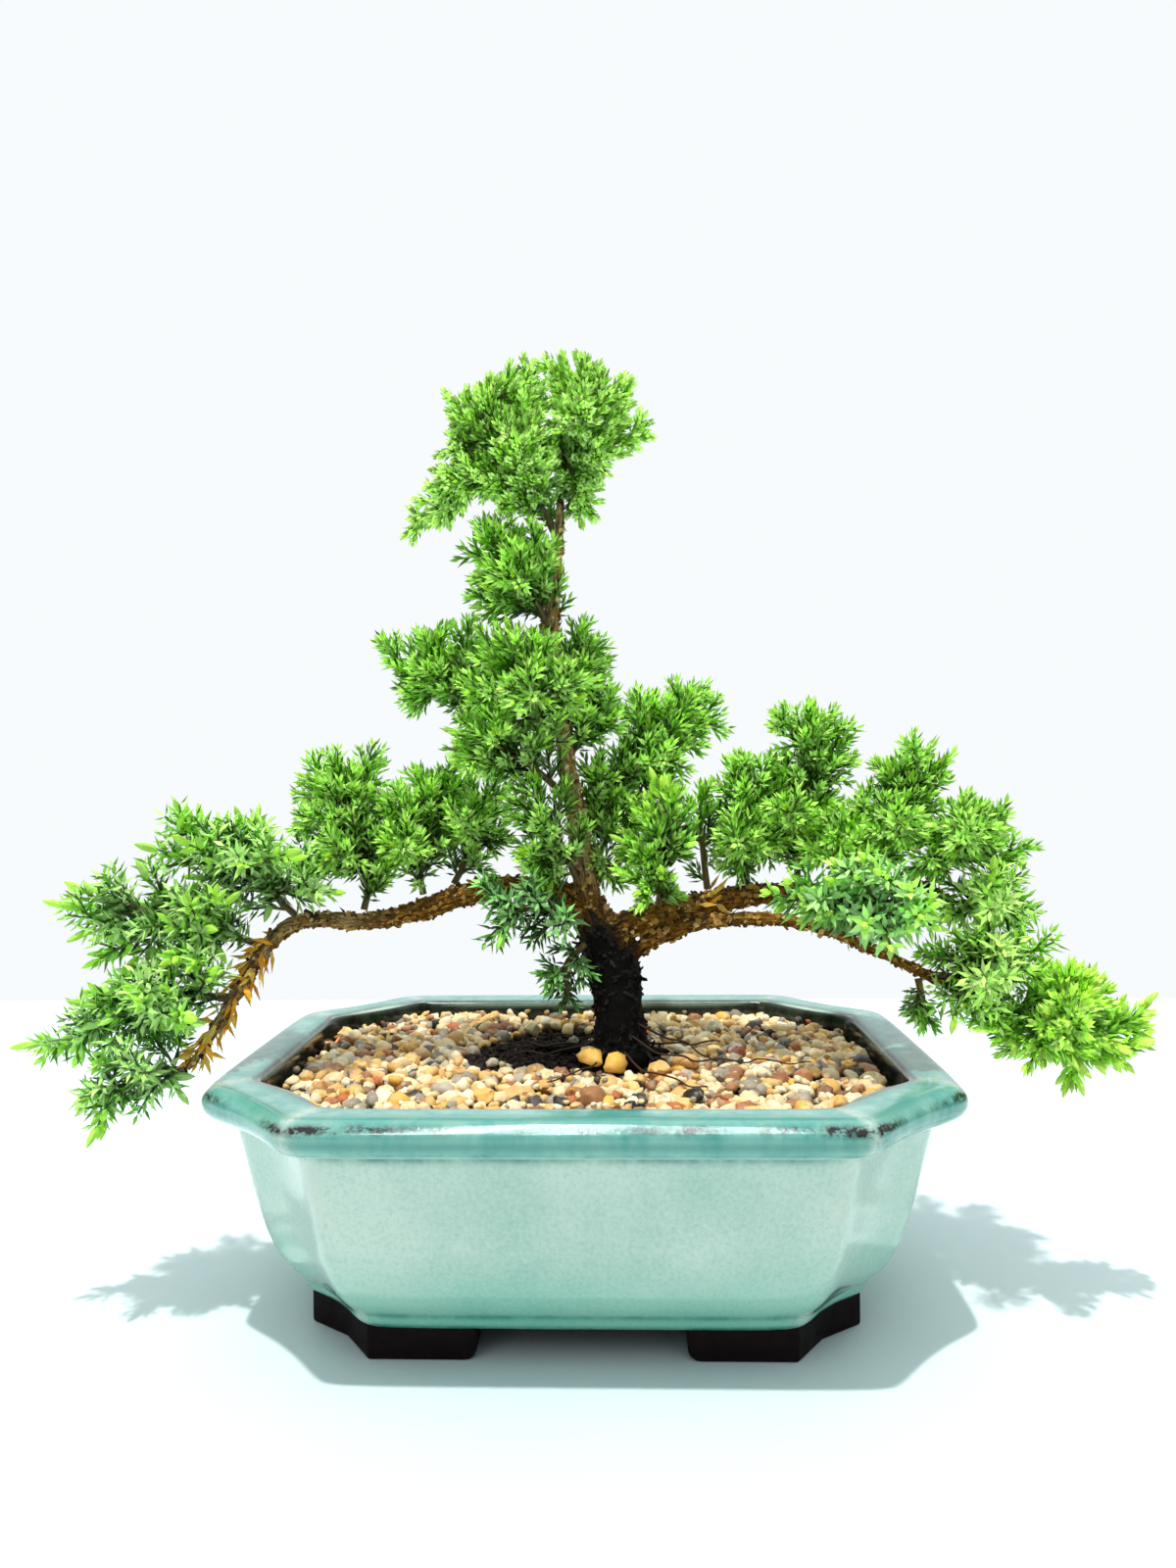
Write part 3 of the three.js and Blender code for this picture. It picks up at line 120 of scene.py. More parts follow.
# Foliage: how it grows, the slot of its colour, the points of its twig and the tips its shoots reach
SPRAYS = {
    "apex_left": ("crown", "crown_leaf", [(-8, 0, 222), (-14, -3, 234), (-21, -4, 244), (-29, -3, 253)],
        [(-41, -2, 265), (-44, -14, 237), (-26, 9, 264), (-57, 3, 223), (-16, -26, 245), (-37, 22, 257),
         (-14, 2, 268), (-13, -4, 262), (-12, 6, 254), (-44, -4, 222), (-36, -6, 227), (-26, -8, 231),
         (-14, -12, 228), (-12, -3, 269), (-13, -10, 256), (-14, 4, 260)]),
    "apex_right": ("crown", "crown_leaf", [(-6.4, 1, 232), (-5, 3, 241), (-1, 2, 254)],
        [(3, 0, 278), (-11, -7, 276), (14, -3, 268), (22, 6, 256), (7, -9, 240), (-1, -26, 249), (6, 24, 268),
         (4, 1, 230), (15, 2, 258), (18, 0, 263), (-8, -4, 266), (-1, -4, 228), (1, -2, 222)]),
    "crown_under": ("leaf", "leaf", [(-10, 0, 193), (-13, -4, 200), (-18, -6, 208)],
        [(-35, -4, 219), (-28, 6, 228), (-36, 0, 202), (-15, -11, 221), (-20, -24, 208), (-22, 20, 217),
         (-37, -2, 210), (-14, -9, 214), (-12, -6, 225)]),
    "shelf_left": ("leaf", "leaf", [(-10, 2, 163), (-23, 6, 167), (-35, 8, 173), (-44, 8, 178)],
        [(-66, 6, 192), (-60, 11, 171), (-47, 4, 197), (-38, 13, 202), (-50, -8, 184)]),
    "shelf_centre": ("leaf", "leaf", [(-9, -4, 157), (-13, -9, 169), (-15, -13, 176)],
        [(-22, -14, 194), (-32, -11, 190), (-12, -19, 192), (-35, -22, 175), (2, -26, 180), (-13, -34, 172)]),
    "shelf_right": ("leaf", "leaf", [(-8, 4, 171), (-5, 8, 181)],
        [(-1, 8, 198), (7, 13, 191), (8, 0, 181)]),
    "skirt_left": ("leaf", "leaf", [(-8, -3, 146), (-16, -9, 153), (-24, -11, 157)],
        [(-43, -8, 165), (-38, -19, 153), (-26, -23, 167), (-42, 6, 155)]),
    "skirt_right": ("leaf", "leaf", [(-5, 3, 153), (-1, 6, 164)],
        [(7, 4, 179), (13, -6, 170), (1, 20, 174)]),
    "fan_right": ("leaf", "leaf", [(-1, 4, 133), (6, 8, 142), (15, 10, 151), (24, 10, 161)],
        [(36, 8, 181), (46, 14, 167), (15, 5, 178), (4, 2, 158), (32, -7, 156), (29, 24, 172), (37, 4, 176),
         (28, 8, 146)]),
    "waist_left": ("leaf", "leaf", [(-2, -4, 118), (-7, -9, 130), (-11, -11, 139)],
        [(-18, -11, 153), (-23, -15, 139), (-19, -20, 124), (-15, -13, 113)]),
    "waist_right": ("leaf", "leaf", [(3, 4, 117), (5, 6, 127), (9, 6, 135)],
        [(14, -1, 147), (-1, 18, 143), (21, 12, 136), (12, -4, 122), (8, -6, 117)]),
    "pad_outer": ("leaf", "leaf", [(-66, -5, 110), (-65, -4, 117), (-68, -4, 127), (-71, -4, 137)],
        [(-76, -4, 160), (-89, 2, 153), (-87, -10, 139), (-63, 8, 159), (-73, -26, 129), (-79, 22, 141),
         (-56, -4, 120), (-80, -6, 122)]),
    "pad_inner": ("leaf", "leaf", [(-49, 0, 114), (-50, 0, 121), (-48, 2, 129), (-47, 2, 137)],
        [(-52, 0, 155), (-42, 11, 155), (-60, -8, 148), (-54, -24, 133), (-46, 24, 137), (-43, 0, 123),
         (-58, -2, 124)]),
    "pad_right": ("leaf", "leaf", [(-40, 2, 117), (-37, 4, 123), (-34, 6, 132)],
        [(-29, 6, 152), (-22, 9, 134), (-25, -3, 122), (-33, -17, 142)]),
    "left_top": ("blue", "blue_leaf", [(-85, -10, 109), (-94, -12, 118), (-103, -15, 125)],
        [(-119, -22, 145), (-126, -26, 132), (-99, -6, 144), (-70, -16, 132), (-109, -14, 140),
         (-77, -36, 131), (-112, 12, 127), (-66, -22, 118), (-95, -16, 108), (-88, -6, 122)]),
    "left_middle": ("blue", "blue_leaf",
        [(-94, -15, 101), (-105, -18, 106), (-118, -22, 110), (-129, -24, 114)],
        [(-147, -26, 120), (-142, -36, 106), (-115, -43, 100), (-108, -42, 119), (-135, 2, 109),
         (-146, -14, 96), (-103, -24, 96), (-112, -20, 122), (-96, -22, 104)]),
    "left_lower": ("blue", "blue_leaf", [(-101, -23, 87), (-111, -26, 89), (-123, -28, 85), (-135, -29, 80)],
        [(-156, -30, 70), (-139, -32, 91), (-123, -48, 95), (-99, -41, 100), (-103, -46, 84), (-131, -8, 79),
         (-150, -30, 72), (-138, -30, 74), (-112, -24, 76), (-104, -30, 80)]),
    "left_tip": ("blue", "blue_leaf", [(-110, -31, 69), (-118, -32, 69), (-126, -33, 66)],
        [(-134, -36, 51), (-144, -26, 61), (-108, -38, 59), (-116, -49, 73), (-114, -32, 61), (-124, -26, 56),
         (-106, -34, 66)]),
    "front_left": ("blue", "blue_leaf", [(-1, -8, 107), (-10, -14, 111), (-18, -18, 112)],
        [(-31, -25, 111), (-24, -14, 117), (-26, -29, 101), (-19, -16, 98), (-6, -14, 104)]),
    "front_hanging": ("leaf", "leaf", [(0, -9, 100), (-5, -14, 95), (-5, -14, 88)],
        [(0, -13, 79), (-16, -20, 92), (5, -18, 89)]),
    "front_plume": ("young", "young_leaf", [(22, -4, 111), (23, -9, 120), (24, -11, 131)],
        [(25, -11, 150), (12, -14, 134), (33, -17, 132), (14, -24, 117), (20, 8, 131), (10, -8, 122),
         (14, -10, 142), (16, -6, 116)]),
    "thin_shoot": ("leaf", "leaf", [(37, 3, 115), (36, 1, 123), (35, 0, 133)],
        [(35, 0, 151), (43, 2, 139)]),
    "plume_left": ("leaf", "leaf", [(49, 7, 116), (50, 8, 125), (51, 8, 136)],
        [(50, 6, 159), (42, 0, 152), (41, 12, 145), (43, -18, 132), (58, 26, 136), (60, 8, 150), (43, 6, 123),
         (56, 8, 122), (62, 2, 121), (38, 2, 120), (52, 0, 122), (46, 0, 117)]),
    "plume_right": ("leaf", "leaf", [(65, 9, 116), (66, 10, 128), (68, 10, 143), (70, 10, 154)],
        [(71, 8, 174), (57, 6, 172), (81, 12, 168), (86, 10, 157), (58, -14, 143), (80, 30, 139),
         (58, 4, 153), (60, 6, 128), (76, 4, 128), (74, 2, 120), (60, 0, 122), (66, -1, 124), (70, -3, 119)]),
    "crest_inner": ("leaf", "leaf", [(87, 9, 117), (90, 6, 128), (96, 4, 140)],
        [(101, 2, 162), (92, 10, 156), (110, 0, 155), (81, -6, 146), (90, -28, 137), (106, 31, 143),
         (94, -4, 126), (82, 2, 121), (104, -2, 134), (87, -5, 122)]),
    "crest_outer": ("leaf", "leaf", [(104, 5, 117), (109, 0, 126), (113, -4, 133)],
        [(118, -6, 144), (134, 0, 124), (126, -12, 134), (104, -34, 132), (121, 28, 129), (102, -6, 128),
         (98, -9, 124), (94, -10, 118)]),
    "shoulder": ("blue", "leaf", [(110, -4, 109), (116, -8, 112)],
        [(134, -10, 113), (110, -37, 113), (131, 14, 103), (116, -24, 121), (104, -14, 103), (122, -4, 104),
         (100, -12, 112), (98, -16, 106)]),
    "front_stars": ("star", "blue_leaf", [(71, -14, 105), (78, -22, 109), (86, -28, 112)],
        [(65, -34, 113), (75, -46, 110), (83, -46, 102), (88, -45, 122), (98, -42, 108), (58, -32, 121),
         (66, -36, 130), (73, -36, 132), (92, -46, 112), (46, -27, 119), (52, -30, 123), (57, -34, 116),
         (50, -22, 113), (64, -30, 124)]),
    "crest_low": ("leaf", "leaf", [(76, 10, 115), (78, 6, 122)],
        [(72, -16, 134), (80, -22, 126), (83, 19, 135), (64, -20, 126)]),
    "right_inner": ("blue", "leaf", [(99, -16, 92), (108, -18, 92), (114, -20, 95)],
        [(126, -20, 106), (135, -14, 101), (104, -27, 76), (117, -31, 76), (105, -46, 92), (124, 8, 88),
         (101, -16, 97), (108, -16, 103), (97, -20, 99), (92, -18, 98), (118, -22, 96), (96, -14, 105),
         (104, -22, 110), (110, -26, 75)]),
    "right_tip": ("young", "young_leaf", [(116, -18, 84), (127, -19, 81), (138, -20, 79)],
        [(159.5, -20, 79), (149, -14, 91), (141, -22, 59), (153, -26, 66), (142, -26, 94), (125, -34, 68),
         (127, -46, 84), (136, -16, 98), (130, -20, 92), (114, -24, 73), (107, -26, 77)]),
    "hanging_right": ("leaf", "leaf", [(95, -16, 91), (96, -17, 85)],
        [(101, -18, 73), (88, -21, 79)]),
}
# Sprays whose side shoots stay shorter than their habit's
SMALLER = {"thin_shoot": 0.5, "front_hanging": 0.7, "hanging_right": 0.6}
# Sprays with more fresh buds than their habit's
FRESHER = {"left_top": 0.85, "left_middle": 0.85, "left_lower": 0.7, "left_tip": 0.5, "crest_outer": 0.3,
           "shoulder": 0.3}
# Sprays with the colour of another kind of foliage than the one they grow like, or with the shaded colours, a
# darker copy that is painted shade
COLOURED_AS = {"right_inner": "leaf", "shoulder": "leaf", "front_plume": "leaf", "front_left": "shaded",
               "front_hanging": "shaded"}

# How each kind of foliage grows. Lengths are in millimetres and angles in degrees:
# needle, width: size of a needle; pitch: distance between whorls; opening, tip_opening: how far the
# needles stand off the shoot, and the share of that at its tip; core: thickness of the green shoot;
# every, longest, shortest, side_angle: side shoots; young: share of shoots that end in a bud;
# bare: share of the shoot without needles; twig_shoot: length of the shoots that clothe the twig;
# bud, closed: size of the bud's leaves, or of the whole bud where it is closed; bud_room: length that
# a bud adds to its shoot; rise: how much the side shoots turn upwards
HABITS = {
    "crown": dict(needle=2.7, width=1.2, pitch=1.3, opening=30, tip_opening=0.4, core=0.8, every=2.4,
                  longest=13, shortest=5, side_angle=44, young=0.25, bare=0.06, twig_shoot=14,
                  bud=(2.6, 1.5), closed=False, bud_room=3.6, rise=0.1),
    "leaf": dict(needle=4.3, width=1.15, pitch=1.6, opening=48, tip_opening=0.6, core=0.5, every=2.8,
                 longest=15, shortest=5, side_angle=47, young=0.1, bare=0.06, twig_shoot=15,
                 bud=(4.0, 1.1), closed=False, bud_room=5.0, rise=0.14),
    "blue": dict(needle=5.6, width=1.2, pitch=2.1, opening=66, tip_opening=0.85, core=0.5, every=4.0,
                 longest=15, shortest=6, side_angle=48, young=0.12, bare=0.06, twig_shoot=16,
                 bud=(6.4, 2.3), closed=True, bud_room=7.2, rise=0.28),
    "star": dict(needle=6.6, width=1.8, pitch=2.3, opening=70, tip_opening=0.8, core=0.6, every=6.5,
                 longest=8, shortest=5, side_angle=50, young=1.0, bare=0.06, twig_shoot=12,
                 bud=(3.2, 1.9), closed=True, bud_room=7.2, rise=0.1),
    "young": dict(needle=4.6, width=1.45, pitch=1.7, opening=40, tip_opening=0.45, core=0.6, every=3.0,
                  longest=14, shortest=6, side_angle=42, young=0.5, bare=0.08, twig_shoot=13,
                  bud=(5.2, 2.0), closed=True, bud_room=6.0, rise=0.24),
}


# Small helpers for shaping

def select_only(piece):
    bpy.ops.object.select_all(action="DESELECT")
    piece.select_set(True)
    bpy.context.view_layer.objects.active = piece


def start_edit(select="SELECT"):
    bpy.ops.object.mode_set(mode="EDIT")
    bpy.ops.mesh.select_mode(type="VERT")
    bpy.ops.mesh.select_all(action=select)


def end_edit():
    bpy.ops.object.mode_set(mode="OBJECT")


def end_solid():
    """Turns all faces outwards and ends the edit."""
    bpy.ops.mesh.select_all(action="SELECT")
    bpy.ops.mesh.normals_make_consistent(inside=False)
    end_edit()


def pick(test):
    """Selects the points of the mesh in edit mode whose place passes the test."""
    piece = bpy.context.active_object
    work = bmesh.from_edit_mesh(piece.data)
    for vertex in work.verts:
        vertex.select = test(piece.matrix_world @ vertex.co)
    work.select_flush_mode()
    work.select_flush(True)
    bmesh.update_edit_mesh(piece.data)


def settle(piece):
    """Puts the place, turn and size of a piece into its mesh."""
    select_only(piece)
    bpy.ops.object.transform_apply(location=True, rotation=True, scale=True)


def apply_modifier(piece, kind, **settings):
    select_only(piece)
    modifier = piece.modifiers.new(kind.lower(), kind)
    for label, value in settings.items():
        setattr(modifier, label, value)
    bpy.ops.object.modifier_apply(modifier=modifier.name)


def shade_by_angle(piece, degrees):
    select_only(piece)
    bpy.ops.object.shade_smooth_by_angle(angle=math.radians(degrees))


def mesh_piece(name, points, faces, smooth=False):
    """A piece from points in millimetres and faces; smooth is one choice or one for each face."""
    mesh = bpy.data.meshes.new(name)
    mesh.from_pydata(points * MM, [], faces)
    mesh.polygons.foreach_set("use_smooth", np.broadcast_to(smooth, len(mesh.polygons)))
    piece = bpy.data.objects.new(name, mesh)
    bpy.context.scene.collection.objects.link(piece)
    return piece


def surface_of(piece):
    """Places in millimetres and normals of a piece's points."""
    places = np.zeros(len(piece.data.vertices) * 3)
    normals = np.zeros(len(places), np.float32)
    piece.data.vertices.foreach_get("co", places)
    piece.data.vertex_normals.foreach_get("vector", normals)
    return places.reshape(-1, 3) / MM, normals.reshape(-1, 3).astype(float)


def put_attribute(piece, name, values, domain="POINT", kind="FLOAT"):
    attribute = piece.data.attributes.new(name, kind, domain)
    label = "vector" if kind == "FLOAT_VECTOR" else "value"
    attribute.data.foreach_set(label, np.asarray(values, np.float32).ravel())


def finish_with(piece, material):
    piece.data.materials.clear()
    piece.data.materials.append(material)


def take_model():
    """Points, triangles and their normals of the small shape just modelled, which is then put away."""
    piece = bpy.context.active_object
    settle(piece)
    apply_modifier(piece, "TRIANGULATE")
    points = np.array([list(vertex.co) for vertex in piece.data.vertices])
    faces = np.array([list(face.vertices) for face in piece.data.polygons])
    normals = np.array([list(face.normal) for face in piece.data.polygons])
    bpy.data.objects.remove(piece)
    return points, faces, normals


def unit(vectors):
    vectors = np.asarray(vectors, float)
    return vectors / np.maximum(np.linalg.norm(vectors, axis=-1, keepdims=True), 1e-12)


def copies(model, places, across, under, forward, sizes):
    """Copies of a modelled shape: its x, y and z run along across, under and forward."""
    points, faces, _ = model
    out = places[:, None, :]
    for axis, way in enumerate((across, under, forward)):
        out = out + points[None, :, axis, None] * (way * sizes[:, axis:axis + 1])[:, None, :]
    together = faces[None, :, :] + (np.arange(len(places)) * len(points))[:, None, None]
    return out.reshape(-1, 3), together.reshape(-1, 3)


def joined(shapes):
    """Points and faces of several shapes as those of one."""
    starts = np.cumsum([0] + [len(points) for points, _ in shapes])
    return (np.vstack([points for points, _ in shapes]),
            np.vstack([faces + start for (_, faces), start in zip(shapes, starts)]))


def smooth_line(points, step=1.0):
    """Centre line and radii through the listed points at about equal steps (Catmull-Rom)."""
    points = np.asarray(points, float)
    padded = np.vstack([2 * points[0] - points[1], points, 2 * points[-1] - points[-2]])
    line = []
    for index in range(1, len(padded) - 2):
        a, b, c, d = padded[index - 1:index + 3]
        pieces = max(1, int(np.linalg.norm(c[:3] - b[:3]) / step))
        for part in range(pieces):
            t = part / pieces
            line.append(0.5 * (2 * b + (c - a) * t + (2 * a - 5 * b + 4 * c - d) * t * t
                               + (3 * b - a - 3 * c + d) * t ** 3))
    line.append(points[-1])
    return np.array(line)


def run_along(line):
    """Distance of each point of a line from its start."""
    return np.concatenate([[0], np.cumsum(np.linalg.norm(np.diff(line, axis=0), axis=1))])


def at_distance(distance, run, values):
    """What the values for a line's points come to at one distance from its start, or at several."""
    return np.stack([np.interp(distance, run, values[:, axis]) for axis in range(3)], axis=-1)


def tube(line, radii, sides):
    """A closed round tube along a line, with points in order of ring and side."""
    forward = unit(np.gradient(line, axis=0))
    across = np.cross((0, 0, 1.0) if abs(forward[0][2]) < 0.8 else (1.0, 0, 0), forward[0])
    turns = (np.arange(sides) * 2 * math.pi / sides)[:, None]
    rings = []
    for middle, radius, way in zip(line, radii, forward):
        across = across - way * np.dot(across, way)
        across = across / np.linalg.norm(across)
        rings.append(middle + radius * (np.cos(turns) * across + np.sin(turns) * np.cross(way, across)))
    points = np.vstack(rings + [line[:1], line[-1:]])
    first, last, end = len(points) - 2, len(points) - 1, (len(line) - 1) * sides
    faces = []
    for ring in range(len(line) - 1):
        for side in range(sides):
            a, b = ring * sides + side, ring * sides + (side + 1) % sides
            faces += [(a, b, b + sides), (a, b + sides, a + sides)]
    for side in range(sides):
        following = (side + 1) % sides
        faces += [(first, following, side), (last, end + side, end + following)]
    return points, np.array(faces)


# Camera at the place and angle of the photograph

CAMERA_PLACE = (11.44, -327.98, 148.12)
CAMERA_YAW, CAMERA_PITCH, CAMERA_ROLL = math.radians(1.788), math.radians(-0.195), math.radians(-0.502)
LENS, SENSOR_HEIGHT = 25, 36


def set_camera():
    forward = Vector((-math.sin(CAMERA_YAW) * math.cos(CAMERA_PITCH),
                      math.cos(CAMERA_YAW) * math.cos(CAMERA_PITCH), math.sin(CAMERA_PITCH)))
    level = Vector((math.cos(CAMERA_YAW), math.sin(CAMERA_YAW), 0))
    upright = level.cross(forward)
    right = level * math.cos(CAMERA_ROLL) + upright * math.sin(CAMERA_ROLL)
    up = upright * math.cos(CAMERA_ROLL) - level * math.sin(CAMERA_ROLL)
    data = bpy.data.cameras.new("camera")
    data.lens, data.sensor_fit, data.sensor_height = LENS, "VERTICAL", SENSOR_HEIGHT
    data.clip_start, data.clip_end = 0.01, 20
    camera = bpy.data.objects.new("camera", data)
    turn = Matrix((right, up, -forward)).transposed().to_4x4()
    camera.matrix_world = Matrix.Translation(Vector(CAMERA_PLACE) * MM) @ turn
    bpy.context.scene.collection.objects.link(camera)
    bpy.context.scene.camera = camera


# Nodes of the finishes

def tint(colour):
    """A colour given in 0 to 255 as seen, for a shader. The output of a node stays as it is."""
    if isinstance(colour, bpy.types.NodeSocket):
        return colour
    shares = [value / 255 for value in colour]
    return [share / 12.92 if share <= 0.04045 else ((share + 0.055) / 1.055) ** 2.4 for share in shares] + [1]


class Nodes:
    """A node tree in the making. Where a value is asked for, a node's output serves too."""

    def __init__(self, tree, where):
        self.tree, self.where = tree, where

    def give(self, socket, value):
        if isinstance(value, bpy.types.NodeSocket):
            self.tree.links.new(value, socket)
        else:
            socket.default_value = value

    def add(self, kind, inputs=None, **settings):
        node = self.tree.nodes.new("ShaderNode" + kind)
        for label, value in settings.items():
            setattr(node, label, value)
        for label, value in (inputs or {}).items():
            self.give(node.inputs[label], value)
        return node

    def mix(self, amount, first, second, blend="MIX"):
        inputs = {0: amount, 6: tint(first), 7: tint(second)}
        return self.add("Mix", inputs, data_type="RGBA", blend_type=blend).outputs[2]

    def maths(self, operation, first, second, third=0, clamp=False):
        inputs = {0: first, 1: second, 2: third}
        return self.add("Math", inputs, operation=operation, use_clamp=clamp).outputs[0]

    def times(self, first, second, clamp=False):
        return self.maths("MULTIPLY", first, second, clamp=clamp)

    def plus(self, first, second, clamp=False):
        return self.maths("ADD", first, second, clamp=clamp)

    def spread(self, value, low, high, to_low=0, to_high=1):
        """A value between low and high, spread from to_low to to_high."""
        return self.add("MapRange", {"Value": value, "From Min": low, "From Max": high,
                                     "To Min": to_low, "To Max": to_high}).outputs["Result"]

    def ramp(self, value, stops):
        """Colours along a value, from stops with a place and a colour each."""
        node = self.add("ValToRGB", {"Fac": value})
        elements = node.color_ramp.elements
        while len(elements) < len(stops):
            elements.new(1)
        for element, (place, colour) in zip(elements, stops):
            element.position, element.color = place, tint(colour)
        return node.outputs["Color"]

    def grain(self, scale, detail, roughness, twist=0, where=None):
        where = self.where if where is None else where
        return self.add("TexNoise", {"Vector": where, "Scale": scale, "Detail": detail,
                                     "Roughness": roughness, "Distortion": twist}).outputs["Fac"]

    def mark(self, name, output="Fac"):
        """Values that the piece carries under a name."""
        return self.add("Attribute", attribute_name=name).outputs[output]

    def axis(self, letter):
        return self.add("SeparateXYZ", {"Vector": self.where}).outputs[letter]


def make_broken_colour():
    """Colour broken by two sizes of grain, as in clay, stone, peat and bark."""
    group = bpy.data.node_groups.new("broken_colour", "ShaderNodeTree")
    for label, kind in (("Where", "Vector"), ("Colour", "Color"), ("Coarse", "Float"), ("Fine", "Float"),
                        ("Contrast", "Float")):
        group.interface.new_socket(name=label, in_out="INPUT", socket_type="NodeSocket" + kind)
    for label, kind in (("Colour", "Color"), ("Height", "Float")):
        group.interface.new_socket(name=label, in_out="OUTPUT", socket_type="NodeSocket" + kind)
    given, result = group.nodes.new("NodeGroupInput").outputs, group.nodes.new("NodeGroupOutput").inputs
    nodes = Nodes(group, given["Where"])
    coarse, fine = nodes.grain(given["Coarse"], 4, 0.6), nodes.grain(given["Fine"], 2, 0.6)
    both = nodes.plus(nodes.times(coarse, 0.65), nodes.times(fine, 0.35))
    swing = nodes.times(nodes.maths("SUBTRACT", both, 0.5), given["Contrast"])
    level = nodes.maths("MULTIPLY_ADD", swing, 2, 1)
    tone = nodes.add("CombineColor", {"Red": level, "Green": level, "Blue": level}).outputs["Color"]
    nodes.give(result["Colour"], nodes.mix(1, given["Colour"], tone, "MULTIPLY"))
    nodes.give(result["Height"], both)
    return group


BROKEN_COLOUR = make_broken_colour()


class Finish(Nodes):
    """A material in the making."""

    def __init__(self, name, gloss, **constants):
        self.material = bpy.data.materials.new(name)
        self.material.use_nodes = True
        super().__init__(self.material.node_tree, None)
        self.where = self.add("TexCoord").outputs["Object"]
        self.inputs = self.tree.nodes["Principled BSDF"].inputs
        self.inputs["Specular IOR Level"].default_value = gloss
        for label, value in constants.items():
            self.inputs[label.replace("_", " ")].default_value = value

    def bump(self, height, strength, distance, socket="Normal"):
        """Bumps from a height; the distance is in millimetres."""
        node = self.add("Bump", {"Height": height, "Strength": strength, "Distance": distance * MM})
        self.give(self.inputs[socket], node.outputs["Normal"])

    def done(self, colour, roughness):
        self.give(self.inputs["Base Color"], colour)
        self.give(self.inputs["Roughness"], roughness)
        return self.material

    def done_broken(self, colour, coarse, fine, contrast, hollow_roughness, top_roughness, strength,
                    distance):
        """Ends the finish with a broken colour, whose grain also gives the roughness and the bumps."""
        node = self.add("Group", {"Where": self.where, "Colour": tint(colour), "Coarse": coarse,
                                  "Fine": fine, "Contrast": contrast}, node_tree=BROKEN_COLOUR)
        height = node.outputs["Height"]
        self.bump(height, strength, distance)
        roughness = self.spread(height, 0.3, 0.7, hollow_roughness, top_roughness)
        return self.done(node.outputs["Colour"], roughness)


# Finishes

def celadon_glaze():
    """Mint glaze: mottled, deep green low down and where it pools, with painted shade in the undercut below
    the lip, pale on the upright edges where it runs thin and a highlight is painted, broken through to the
    clay along the rim, and dark inside."""
    glaze = Finish("celadon_glaze", 0.2, Coat_Weight=1, Coat_IOR=1.4, Coat_Roughness=0.015)
    mix, spread, times, mark = glaze.mix, glaze.spread, glaze.times, glaze.mark
    cloud, mottle = glaze.grain(28, 3, 0.55), glaze.grain(900, 3, 0.7)
    patch, fleck = glaze.grain(62, 4, 0.65, 0.4), glaze.grain(230, 4, 0.7, 0.6)
    drawn_down = glaze.add("Mapping", {"Vector": glaze.where, "Scale": (1, 1, 0.25)}).outputs["Vector"]
    streak = glaze.grain(150, 3, 0.6, where=drawn_down)
    body = mix(spread(cloud, 0.35, 0.68), (178, 210, 194), (212, 228, 214))
    breaks = times(mark("rim_edge"), spread(patch, 0.40, 0.54, 0, 1.6))
    breaks = times(breaks, spread(fleck, 0.40, 0.52, 0.2, 1))
    layers = (
        (spread(mottle, 0.5, 0.75, 0, 0.5), (220, 236, 222)),
        (spread(mottle, 0.5, 0.25, 0, 0.45), (122, 190, 172)),
        (spread(glaze.axis("Z"), 0.034, 0.010, 0, 0.75), (72, 182, 157)),
        (mark("lip"), mix(spread(streak, 0.3, 0.7), (84, 160, 148), (140, 194, 180))),
        (mark("rim_top"), mix(spread(streak, 0.35, 0.7), (100, 172, 164), (160, 204, 194))),
        # Pooled glaze, and painted shade in the undercut below the lip.
        (times(mark("pooled_and_shade"), spread(streak, 0.25, 0.62, 0.35, 1)), (32, 122, 112)),
        # Painted highlight: pale along the upright corner edges, where the glaze also runs thin.
        (times(mark("corner_highlight"), spread(mottle, 0.3, 0.7, 0.25, 0.8)), (216, 224, 212)),
        (times(breaks, spread(mottle, 0.3, 0.55, 0.4, 1), True), (30, 22, 18)),
        (times(mark("inner_line"), spread(patch, 0.3, 0.55, 0.45, 0.95)), (58, 46, 38)),
        (mark("inner_wall"), mix(spread(streak, 0.35, 0.65), (24, 26, 20), (58, 66, 54))),
        (mark("bare_base"), mix(spread(mottle, 0.3, 0.7), (18, 12, 12), (38, 26, 22))),
    )
    for amount, colour in layers:
        body = mix(amount, body, colour)
    glaze.bump(glaze.grain(240, 2, 0.5), 0.12, 0.35)
    glaze.bump(glaze.grain(1000, 3, 0.6), 0.3, 0.12, "Coat Normal")
    return glaze.done(body, spread(mottle, 0.3, 0.8, 0.1, 0.24))


def dark_clay():
    return Finish("dark_clay", 0.1).done_broken((20, 7, 9), 260, 1900, 0.6, 0.72, 0.52, 0.5, 0.4)


def screen_plastic():
    return Finish("screen_plastic", 0.4).done_broken((30, 34, 38), 500, 2500, 0.4, 0.5, 0.68, 0.3, 0.15)


def peat_finish(name, dark, light):
    peat = Finish(name, 0.25)
    base = peat.mix(peat.spread(peat.grain(480, 4, 0.7), 0.4, 0.68), dark, light)
    return peat.done_broken(base, 700, 2600, 0.9, 0.95, 0.7, 0.8, 0.8)


